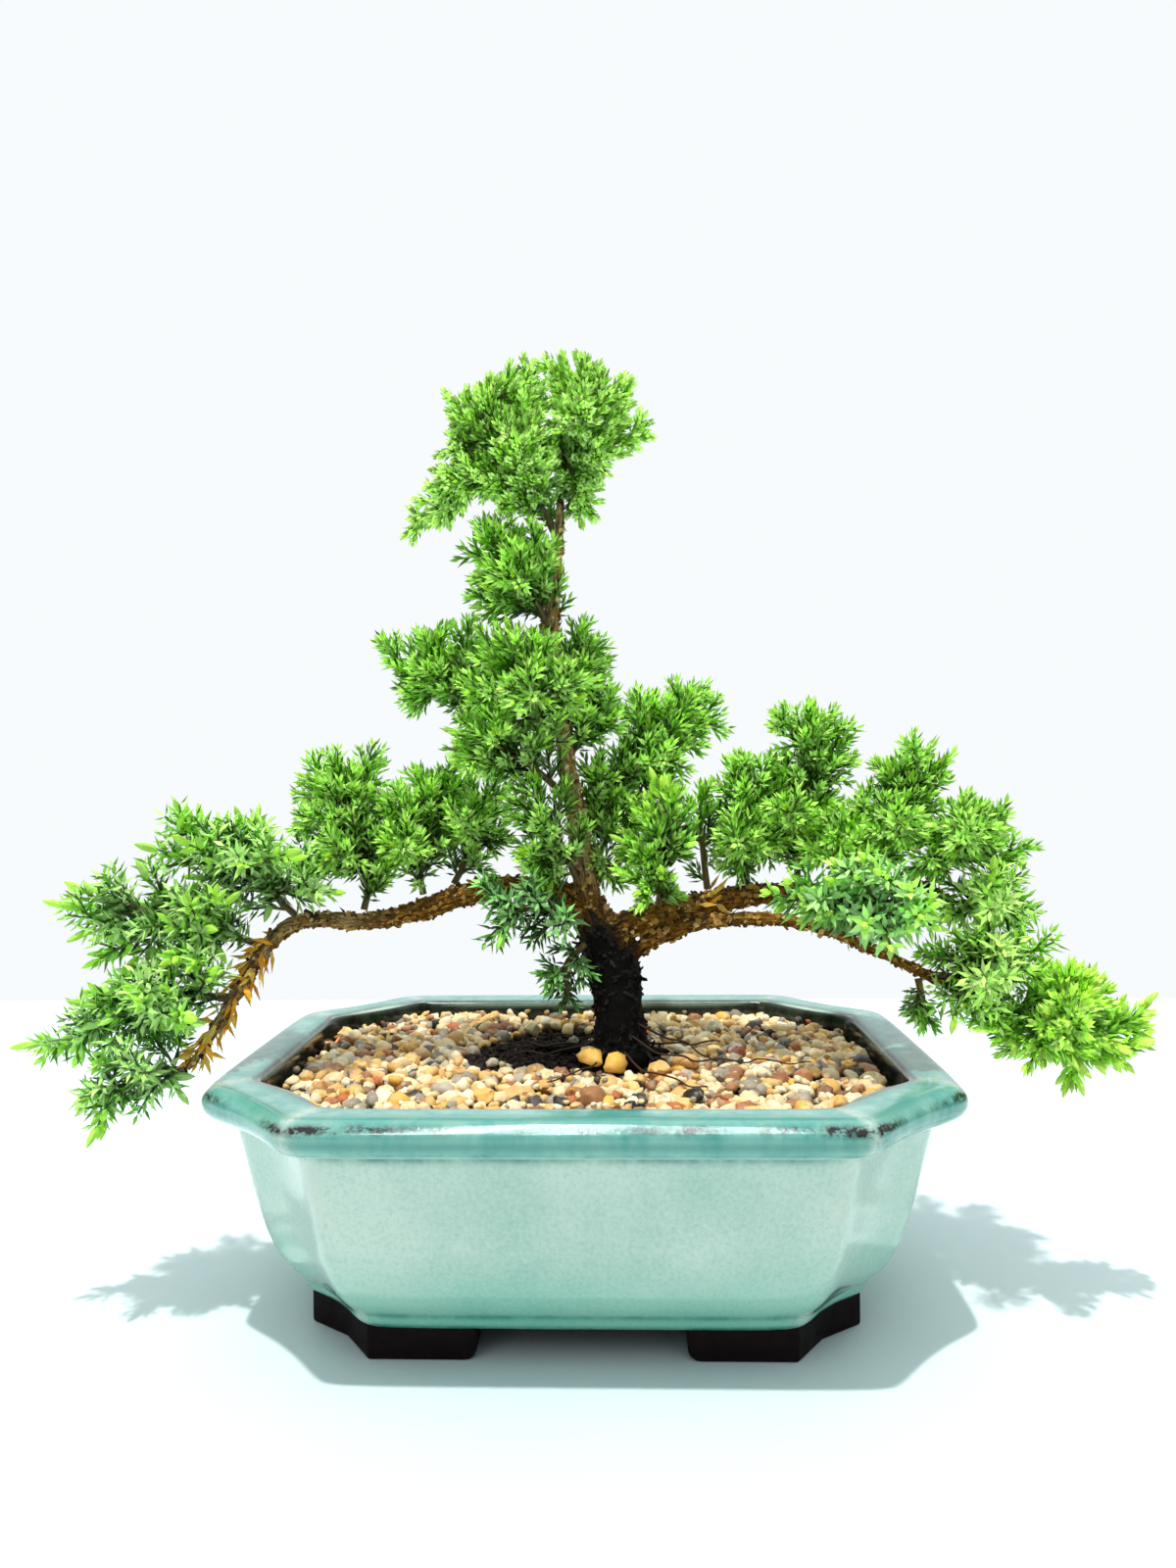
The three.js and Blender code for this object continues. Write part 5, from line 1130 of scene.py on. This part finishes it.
def model_bud():
    """A closed bud one unit long: a ball drawn out to a point, with three leaves laid together on it."""
    bpy.ops.mesh.primitive_uv_sphere_add(segments=6, ring_count=5, radius=0.5, location=(0, 0, 0.5))
    start_edit("DESELECT")
    for height, width in ((0.5, 0.88), (0.8, 0.62)):
        pick(lambda place: place.z > height)
        bpy.ops.transform.resize(value=(width, width, 1), center_override=(0, 0, 0))
    pick(lambda place: place.x * (place.x ** 2 - 3 * place.y ** 2) < -1e-4)
    bpy.ops.transform.resize(value=(0.8, 0.8, 1), center_override=(0, 0, 0))
    end_solid()
    return take_model()


def toned_copies(name, model, tones, places, turns, sizes):
    """A piece of copies of a small shape, each with its own tone."""
    piece = mesh_piece(name, *copies(model, places, *turns, sizes))
    put_attribute(piece, "tone", np.repeat(tones, len(model[0])))
    return piece


def off_the_bark(heading, out, yaw, lift):
    """Axes of thin bits on the bark: turned away from the limb's heading by yaw, then lifted off it."""
    yaw, lift = yaw[:, None], lift[:, None]
    flat = unit(heading - out * np.sum(heading * out, axis=1, keepdims=True))
    flat = unit(flat * np.cos(yaw) + np.cross(out, flat) * np.sin(yaw))
    forward = unit(flat * np.cos(lift) + out * np.sin(lift))
    upper = unit(out * np.cos(lift) - flat * np.sin(lift))
    return forward, upper


def shed_bark(wood, headings):
    """Flakes that lift off the limbs and stem, thin strips on the trunk, and crumbs all over."""
    draw = np.random.default_rng(BARK_SEED)
    places, normals = surface_of(wood)
    height = places[:, 2]
    chosen = draw.choice(np.flatnonzero((height > 68) & (height < 226)), FLAKES, replace=False)
    spot, out = places[chosen], normals[chosen]
    heading = headings[chosen] * np.where(draw.random(FLAKES) < 0.5, 1, -1)[:, None]
    yaw, lift = draw.normal(0, 0.8, FLAKES), np.abs(draw.normal(0.2, 0.2, FLAKES))
    forward, upper = off_the_bark(heading, out, yaw, lift)
    # Flakes in the painted shade on the trunk's foot take the blackest tones.
    low = np.array([below_foot_shade(place) > 4 for place in spot])
    length = draw.uniform(0.9, 2.3, FLAKES) * np.where(low, 1.6, 1)
    width = draw.uniform(0.9, 2.4, FLAKES) * np.where(low, 0.6, 1)
    sizes = np.column_stack([width, draw.uniform(0.12, 0.3, FLAKES), length])
    low_tone, high_tone = draw.uniform(0, 0.13, FLAKES), draw.uniform(0.62, 1, FLAKES)
    tone = np.where(low, low_tone, np.where(spot[:, 2] > 122, high_tone, draw.uniform(0.2, 0.85, FLAKES)))
    flakes = toned_copies("peeling_bark", model_flake(), tone, spot - out * 0.12,
                          (np.cross(upper, forward), upper, forward), sizes)

    chosen = draw.choice(np.flatnonzero((height > 84) & (height < 226)), BARK_CRUMBS, replace=False)
    spot, out = places[chosen], normals[chosen]
    # Crumbs in the painted shade on the trunk's foot take the blackest tones.
    low = np.array([below_foot_shade(place) > 4 for place in spot])
    turns = random_turns(draw, BARK_CRUMBS, 2)
    sizes = draw.uniform(0.6, 1.7, BARK_CRUMBS)[:, None] * draw.uniform(0.6, 1.2, (BARK_CRUMBS, 3))
    tone = np.where(low, draw.uniform(0, 0.13, BARK_CRUMBS), draw.uniform(0.25, 0.9, BARK_CRUMBS))
    crumbs = toned_copies("bark_crumbs", model_crumb(11), tone, spot + out * 0.05, turns, sizes)

    # The darkest stops are painted shade, for the bits on the trunk's foot.
    finish = dry_finish("peeling_bark_finish", [
        (0, (4, 4, 3)), (0.12, (10, 9, 7)), (0.2, (44, 30, 12)), (0.3, (76, 48, 14)), (0.5, (140, 96, 32)),
        (0.75, (198, 156, 86)), (1, (240, 216, 162))])
    finish_with(flakes, finish)
    finish_with(crumbs, finish)
    return flakes, crumbs


def hang_dead_leaves(wood, headings):
    """Dry needles left on the wood: brown ones all along, broad orange ones on the left limb's end and
    on the sprig."""
    draw = np.random.default_rng(DEAD_LEAF_SEED)
    places, normals = surface_of(wood)
    x, y, z = places.T
    limb = (z > 84) & (z < 224) & ((np.abs(x - 8) > 12) | (z > 116))
    limb_end = (x < -90) & (z < 104) & (z > 70)
    sprig = (x > 33) & (x < 39) & (z > 110) & (y < 4)
    shares = ((limb, BROWN_LEAVES), (limb_end, ORANGE_LEAVES), (sprig, SPRIG_LEAVES))
    chosen = np.concatenate([draw.choice(np.flatnonzero(part), share, replace=False)
                             for part, share in shares])
    count = len(chosen)
    broad = np.arange(count) >= BROWN_LEAVES
    spot, out = places[chosen], normals[chosen]

    def either(broad_range, narrow_range):
        return np.where(broad, draw.uniform(*broad_range, count), draw.uniform(*narrow_range, count))

    yaw = draw.normal(0, 1, count) * np.where(broad, 0.7, 0.4)
    forward, upper = off_the_bark(headings[chosen], out, yaw, either((0.1, 0.75), (0.2, 0.6)))
    length, width = either((4.5, 8.5), (2, 3.6)), either((1.1, 2), (0.5, 0.9))
    leaves = toned_copies("dead_leaves", needle, either((0.72, 1), (0, 0.62)), spot - out * 0.15,
                          (np.cross(forward, upper), -upper, forward),
                          np.column_stack([width, width * 0.8, length]))
    finish_with(leaves, dry_finish("dead_leaf_finish", [
        (0, (62, 44, 24)), (0.35, (120, 84, 44)), (0.6, (128, 132, 52)), (0.72, (238, 156, 34)),
        (0.84, (254, 188, 48)), (1, (255, 226, 126))]))
    return leaves


def lay_fine_roots():
    """Thin dark root hairs, each with its own waves."""
    hairs = []
    for number, hair in enumerate(ROOT_HAIRS):
        line = smooth_line([place + (HAIR_START - HAIR_THINNING * index / len(hair),)
                            for index, place in enumerate(hair)])
        line[:, :3] += 0.5 * np.sin(line[:, :1] * (0.7, 0.9, 0.5) + number)
        hairs.append(tube(line[:, :3], line[:, 3], 6))
    roots = mesh_piece("fine_roots", *joined(hairs), smooth=True)
    put_attribute(roots, "tone", np.full(len(roots.data.vertices), 0.3))
    finish_with(roots, dry_finish("fine_root_finish", [(0, (24, 18, 14)), (1, (96, 66, 44))]))
    return roots


# Foliage

LOW, HIGH = np.array(cad_low) / MM, np.array(cad_high) / MM
TIP_ROOM = 3.4
SHOOT_ANGLE, SHOOT_SPACING = math.radians(42), 3
# INNER_SHADE_REACH: within this many millimetres of its twig a needle gets painted shade, darker the nearer
# it lies
OUTER_REACH, INNER_SPREAD, INNER_SHADE_REACH = 8, 1.35, 13
# For shoots off the twig, for their side shoots and for the last ones: how woody the core is, the closed
# buds along them, and the size, spacing and odds of a bud for the side shoots that they bear
WOODY_CORE, SIDE_BUDS = (0.6, 0.2, 0.0), (5, 2, 0)
SIDE_SIZE, SIDE_SPACING, SIDE_BUD_ODDS = (1.0, 0.52), (1.0, 0.95), (0.7, 0.25)
BUD_SPACING, SIDE_BUD_SIZE = 2.2, 0.82
# Shoots that clothe the twig: start, spacing, and angle off it
CLOTHING_START, CLOTHING_SPACING, CLOTHING_ANGLE = 2.5, 3.9, 52
TWIG_THICKNESS, TWIG_THINNING, SPRAY_SEED = 1.1, 0.4, 100
SKEW = np.array((0.31, 0.9, 0.3))


def turned_out(heading, helper, number):
    """The way out from a shoot, the golden angle on from the one before."""
    side = unit(np.cross(helper, heading))
    turn = number * GOLDEN_ANGLE
    return side * math.cos(turn) + np.cross(heading, side) * math.sin(turn)


class Growth:
    """Gathers the needles and stems of one spray."""

    def __init__(self, habit, seed):
        self.habit = habit
        self.draw = np.random.default_rng(seed)
        self.shapes = []
        self.values = {"age_and_shade": [], "tone": [], "woody": [], "upper": []}

    def keep(self, shape, age_and_shade, tone, woody, upper):
        """Keeps a shape; a value is one for all or one for each point, or in the last for each face."""
        self.shapes.append(shape)
        points, faces = len(shape[0]), len(shape[1])
        counts = (points, points, points, faces)
        for name, value, count in zip(self.values, (age_and_shade, tone, woody, upper), counts):
            self.values[name].append(np.broadcast_to(value, count))

    def stem(self, line, radii, sides, woody):
        self.keep(tube(line, radii, sides), 0.12, self.draw.random(), woody, 0.0)

    def needles(self, places, outs, forwards, opening, lengths, widths, age_and_shade):
        """One needle at each place, leaning forward from outs, its flat face towards the shoot's tip."""
        lean = np.radians(opening)[:, None]
        along = unit(outs * np.sin(lean) + forwards * np.cos(lean))
        upper = unit(forwards * np.sin(lean) - outs * np.cos(lean))
        sizes = np.column_stack([widths, widths, lengths])
        points, faces = copies(needle, places, np.cross(along, upper), -upper, along, sizes)
        each, count = len(needle[0]), len(places)
        rise = np.tile(needle[0][:, 2], count)
        points = points + np.repeat(upper * lengths[:, None], each, axis=0) * (0.10 * rise ** 2)[:, None]
        flat_face = (needle[2][:, 1] < -0.7).astype(float)
        self.keep((points, faces), np.repeat(age_and_shade, each), np.repeat(self.draw.random(count), each), 0.0,
                  np.tile(flat_face, count))

    def closed_bud(self, place, forward, size):
        """A closed bud of fresh leaves."""
        length, width = self.habit["bud"]
        across = unit(np.cross(forward, SKEW))
        sizes = np.array([[width, width, length]]) * size * self.draw.uniform(0.8, 1.15)
        shape = copies(bud, place[None], across[None], np.cross(forward, across)[None], forward[None], sizes)
        self.keep(shape, 1.0, self.draw.random(), 0.0, 0.8)

    def shoot(self, start, control, end, level, budding):
        """A shoot along a bent line: a green core in whorls of three needles, with side shoots, that
        ends in an open rosette or, when it is budding, in a bud of fresh leaves."""
        habit, draw = self.habit, self.draw
        t = np.linspace(0, 1, 9)[:, None]
        line = start * (1 - t) ** 2 + control * 2 * t * (1 - t) + end * t * t
        run = run_along(line)
        length = run[-1]
        tangents = unit(np.gradient(line, axis=0))

        def at(distance):
            return at_distance(distance, run, line), unit(at_distance(distance, run, tangents))

        helper = np.eye(3)[int(np.argmin(np.abs(unit(end - start))))]
        core = habit["core"]
        thick, sides, rings = ((core * 1.25, 5, int(length / 4) + 2), (core, 4, 4), (core * 0.9, 3, 3))[level]
        stops = at(np.linspace(0, length, max(3, rings)))[0]
        self.stem(stops, np.linspace(thick, core * 0.6, len(stops)), sides, WOODY_CORE[level])

        bare = habit["bare"] * length if level == 0 else 0.5
        close, sparse = length - OUTER_REACH, habit["pitch"] * INNER_SPREAD
        distances = np.concatenate([np.arange(length, max(bare, close), -habit["pitch"]),
                                    np.arange(close - sparse * 0.5, bare, -sparse)])
        count = len(distances)
        places, headings = at(distances)
        across = unit(np.cross(helper, headings))
        up = np.cross(headings, across)
        from_end = length - distances
        closing = np.clip(from_end / (habit["needle"] * 0.9), 0, 1)
        bud_length, bud_width = habit["bud"]
        in_bud = (from_end < bud_length * 0.75) & (budding and not habit["closed"])
        # Needles darken away from the shoot's tip, as older needles and as painted shade inside the spray.
        age_and_shade = 0.7 - 0.2 * np.clip(from_end / 3, 0, 1) - 0.5 * np.clip((from_end - 3) / 11, 0, 1)
        age_and_shade = np.where(budding, age_and_shade + 0.2 * np.clip(1 - from_end / 12, 0, 1), age_and_shade)
        age_and_shade = np.clip(np.where(in_bud, 1.0, age_and_shade), 0, 1)
        for side in range(3):
            turn = np.arange(count) * math.pi / 3 + side * 2 * math.pi / 3
            turn = (turn + draw.normal(0, 0.16, count))[:, None]
            outs = across * np.cos(turn) + up * np.sin(turn)
            opening = habit["opening"] * (habit["tip_opening"] + (1 - habit["tip_opening"]) * closing)
            opening = np.where(in_bud, 9 + 3.4 * from_end, opening) + draw.normal(0, 5, count)
            lengths = habit["needle"] * (0.72 + 0.28 * closing)
            lengths = np.where(in_bud, bud_length, lengths) * draw.uniform(0.85, 1.14, count)
            widths = np.where(in_bud, bud_width, habit["width"]) * draw.uniform(0.88, 1.12, count)
            self.needles(places + outs * core * 0.7, outs, headings, opening, lengths, widths, age_and_shade)

        if budding and habit["closed"]:
            self.closed_bud(line[-1], tangents[-1], 1)
            for number in range(SIDE_BUDS[level]):
                place, heading = at(length - BUD_SPACING * (number + 1))
                out = turned_out(heading, helper, number)
                self.closed_bud(place + out * core, unit(heading + 0.5 * out), SIDE_BUD_SIZE)
        if level < 2:
            self.side_shoots(at, length, bare, helper, level)

    def side_shoots(self, at, length, bare, helper, level):
        """Shoots all along another one, shorter towards its tip."""
        habit, draw = self.habit, self.draw
        distance, number = bare + habit["every"] * 0.4, draw.integers(0, 9)
        while distance < length - habit["pitch"] * 2:
            place, heading = at(distance)
            out = turned_out(heading, helper, number)
            lean = math.radians(habit["side_angle"] + draw.normal(0, 6))
            way = unit(heading * math.cos(lean) + out * math.sin(lean) + np.array((0, 0, habit["rise"])))
            share = distance / length
            reach = (habit["longest"] * (1 - share) + habit["shortest"] * share) * draw.uniform(0.78, 1.14)
            reach = min(reach * SIDE_SIZE[level] * (1 + 0.16 * way[2]), length * 0.75)
            tip = np.clip(place + unit(way + 0.22 * heading) * reach, LOW + TIP_ROOM, HIGH - TIP_ROOM)
            odds = habit["young"] * (0.3 + 0.7 * share) * SIDE_BUD_ODDS[level]
            self.shoot(place, place + way * reach * 0.5, tip, level + 1, draw.random() < odds)
            distance += habit["every"] * SIDE_SPACING[level] * draw.uniform(0.8, 1.25)
            number += 1

    def clothe(self, line):
        """Shorter shoots all round the twig, so that it is hidden as on the real plant."""
        habit, draw = self.habit, self.draw
        run = run_along(line)
        distance, number = CLOTHING_START, draw.integers(0, 9)
        while distance < run[-1]:
            place = at_distance(distance, run, line)
            heading = unit(at_distance(distance + 1, run, line) - place + 1e-6)
            out = turned_out(heading, -SKEW, number)
            lean = math.radians(CLOTHING_ANGLE + draw.normal(0, 7))
            way = unit(heading * math.cos(lean) + out * math.sin(lean))
            reach = habit["twig_shoot"] * draw.uniform(0.7, 1.1) * (1 + 0.15 * way[2])
            tip = np.clip(place + unit(way + 0.2 * heading) * reach, LOW + TIP_ROOM, HIGH - TIP_ROOM)
            self.shoot(place, place + way * reach * 0.5, tip, 1, draw.random() < habit["young"] * 0.25)
            distance += CLOTHING_SPACING * draw.uniform(0.8, 1.2)
            number += 1

    def piece(self, name, twig):
        """The spray as one piece, with painted shade that darkens it towards its twig."""
        points, faces = joined(self.shapes)
        points = np.clip(points, LOW + 0.02, HIGH - 0.02)
        piece = mesh_piece(name, points, faces)
        depth = np.min([np.linalg.norm(points - place, axis=1) for place in twig[::3]], axis=0)
        values = {label: np.concatenate(parts) for label, parts in self.values.items()}
        # Painted shade: needles near the twig, deep inside the spray, are darkened.
        values["age_and_shade"] = values["age_and_shade"] * np.clip(depth / INNER_SHADE_REACH, 0.1, 1)
        for label, numbers in values.items():
            put_attribute(piece, label, numbers, domain="FACE" if label == "upper" else "POINT")
        return piece


def leaving_place(twig, tip, used):
    """Where a shoot leaves its twig: about 42 degrees off it, and apart from the shoots before."""
    best = None
    for span in range(len(twig) - 1):
        for step in range(3 if span == 0 else 0, 9):
            place = twig[span] + (twig[span + 1] - twig[span]) * step / 8
            heading, way = unit(twig[span + 1] - twig[span]), tip - place
            crowd = sum(max(0, 1 - np.linalg.norm(other - place) / SHOOT_SPACING) for other in used)
            angle = math.acos(max(-1, min(1, float(np.dot(heading, unit(way))))))
            score = abs(angle - SHOOT_ANGLE) + np.linalg.norm(way) * 0.012 + crowd * 1.5
            if best is None or score < best[0]:
                best = (score, place, heading)
    return best[1], best[2]


def grow_spray(name, number):
    """One spray: a woody twig, a shoot to each of its tips, and shorter shoots along the twig."""
    kind, slot, twig, tips = SPRAYS[name]
    habit = dict(HABITS[kind])
    for label in ("longest", "twig_shoot"):
        habit[label] *= SMALLER.get(name, 1)
    habit["young"] = FRESHER.get(name, habit["young"])
    growth = Growth(habit, SPRAY_SEED + number)
    twig = np.array(twig, float)
    radii = [TWIG_THICKNESS - TWIG_THINNING * index / len(twig) for index in range(len(twig))]
    wood = smooth_line(np.column_stack([twig, radii]), 1.6)
    growth.stem(wood[:, :3], wood[:, 3], 7, 1.0)
    used = []
    for tip in np.array(tips, float):
        tip = np.clip(tip, LOW + 0.1, HIGH - 0.1)
        place, heading = leaving_place(twig, tip, used)
        used.append(place)
        reach = np.linalg.norm(tip - place)
        budding = growth.draw.random() < habit["young"] * 1.6
        beyond = habit["bud_room"] if budding else habit["needle"] * 1.1
        end = place + (tip - place) * (reach - beyond) / reach
        control = place + (heading - np.array((0, 0, habit["rise"]))) * np.linalg.norm(end - place) * 0.45
        growth.shoot(place, control, end, 0, budding)
    growth.clothe(wood[:, :3])
    return growth.piece(name + "_foliage", wood[:, :3]), kind, slot


# Needle colours: name, old, grown, tip and bud, the waxy band with its amount, and how much painted shade
# darkens the keel
LEAVES = {
    "crown": ("crown", (44, 88, 6), (156, 222, 52), (202, 248, 106),
              (190, 242, 108), (236, 254, 196), 0.74, 0.18),
    "leaf": ("green", (14, 44, 3), (120, 200, 30), (184, 246, 76),
             (190, 244, 50), (218, 250, 154), 0.64, 0.34),
    "blue": ("blue", (20, 58, 8), (116, 192, 50), (176, 234, 92),
             (176, 242, 14), (214, 248, 166), 0.62, 0.34),
    # A darker copy of the needle colours, as painted shade for the sprays that hang below the crown in front
    "shaded": ("shaded", (10, 38, 8), (78, 150, 50), (134, 208, 88),
               (160, 236, 36), (176, 232, 148), 0.5, 0.4),
    "star": ("star", (24, 66, 14), (112, 190, 70), (160, 228, 104),
             (202, 252, 66), (206, 248, 174), 0.6, 0.34),
    "young": ("young", (40, 98, 6), (150, 222, 48), (202, 246, 88),
              (216, 252, 90), (232, 254, 160), 0.62, 0.24),
}


# Light, table and background

# Place and size in metres, and power. Panes are windows that only show in the gloss.
AREA_LIGHTS = [
    ("first_pane", (-0.23, -0.68, 1.44), (0.11, 1.1), 9),
    ("second_pane", (-0.06, -0.68, 1.44), (0.07, 1.1), 6),
    ("third_pane", (0.11, -0.68, 1.44), (0.09, 0.6), 2.1),
    ("fourth_pane", (0.245, -0.68, 1.44), (0.075, 0.4), 2),
    ("front_light", (-0.9, -1.5, 0.9), (0.7, 0.9), 2),
]
AIM = Vector((0, 0, 0.08))
OVERHEAD = Vector((-0.1, -0.22, 1))


def hang_light(name, kind, towards, place, **settings):
    """A light at a place, which shines away from the way given."""
    data = bpy.data.lights.new(name, kind)
    for label, value in settings.items():
        setattr(data, label, value)
    lamp = bpy.data.objects.new(name, data)
    lamp.matrix_world = Matrix.Translation(place) @ towards.to_track_quat("Z", "Y").to_matrix().to_4x4()
    bpy.context.scene.collection.objects.link(lamp)
    return lamp


def light_scene():
    """A sky that is bright overhead and seen as plain pale backdrop, a soft sun and the area lights."""
    world = bpy.data.worlds.new("soft_sky")
    world.use_nodes = True
    bpy.context.scene.world = world
    sky = Nodes(world.node_tree, None)
    sky.where = sky.add("TexCoord").outputs["Generated"]
    overhead = sky.spread(sky.axis("Z"), 0.3, 0.85, 0.05, 1.15)
    backdrop = sky.spread(sky.axis("Y"), 0.1, 0.7, 0, 0.6)
    shining = sky.tree.nodes["Background"]
    sky.give(shining.inputs["Color"], (0.93, 0.98, 1, 1))
    sky.give(shining.inputs["Strength"], sky.plus(overhead, backdrop))
    seen = sky.add("Background", {"Color": tint((247, 251, 253)), "Strength": 1})
    path = sky.add("LightPath").outputs["Is Camera Ray"]
    both = sky.add("MixShader", {0: path, 1: shining.outputs[0], 2: seen.outputs[0]})
    sky.give(sky.tree.nodes["World Output"].inputs["Surface"], both.outputs[0])

    sun = hang_light("overhead_light", "SUN", OVERHEAD, Vector(), energy=2.7, angle=math.radians(1.6),
                     color=(1, 0.98, 0.95))
    sun.visible_glossy = False
    for name, place, (width, height), power in AREA_LIGHTS:
        place = Vector(place)
        lamp = hang_light(name, "AREA", place - AIM, place, shape="RECTANGLE", size=width, size_y=height,
                          energy=power)
        lamp.visible_diffuse = not name.endswith("pane")
    bpy.context.scene.view_settings.view_transform = "Standard"


def lay_table():
    """A plain pale table top that ends behind the pot."""
    bpy.ops.mesh.primitive_cube_add(size=1, location=(0, -0.8, -0.02))
    table = bpy.context.active_object
    table.name = "table_top"
    start_edit()
    bpy.ops.transform.resize(value=(4, 2.42, 0.04), center_override=(0, -0.8, -0.02))
    bpy.ops.mesh.bevel(offset=0.003, segments=2, affect="EDGES")
    end_edit()
    settle(table)
    pale = Finish("pale_table", 0.5)
    finish_with(table, pale.done(pale.mix(pale.grain(9, 3, 0.5), (212, 228, 232), (220, 234, 237)), 0.65))


def belong(piece, slot, *nodes):
    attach(piece, "root")
    if nodes:
        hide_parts(*nodes)


# Making, in order

set_camera()
light_scene()
lay_table()

belong(make_bowl(), "glazed_pot", "pot")
belong(make_feet(), "glazed_pot", "pot")
for stones in lay_stones():
    belong(stones, "gravel", "gravel")
belong(make_mound(), "soil")
belong(lay_crumbs(), "soil")
finish_with(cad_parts["soil"], peat_finish("packed_peat", (18, 14, 11), (52, 40, 30)))
plastic = screen_plastic()
for side in ("left", "right"):
    finish_with(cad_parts["drainage_screen_" + side], plastic)

needle, bud = model_needle(), model_bud()
bark, headings = make_wood()
belong(bark, "bark", "wood")
for loose in shed_bark(bark, headings):
    belong(loose, "bark")
belong(hang_dead_leaves(bark, headings), "bark")
belong(lay_fine_roots(), "bark")

leaves = {kind: leaf_finish(colour + "_needles", *looks) for kind, (colour, *looks) in LEAVES.items()}
for number, name in enumerate(SPRAYS):
    foliage, kind, slot = grow_spray(name, number)
    finish_with(foliage, leaves[COLOURED_AS.get(name, kind)])
    belong(foliage, slot, "spray_" + name)
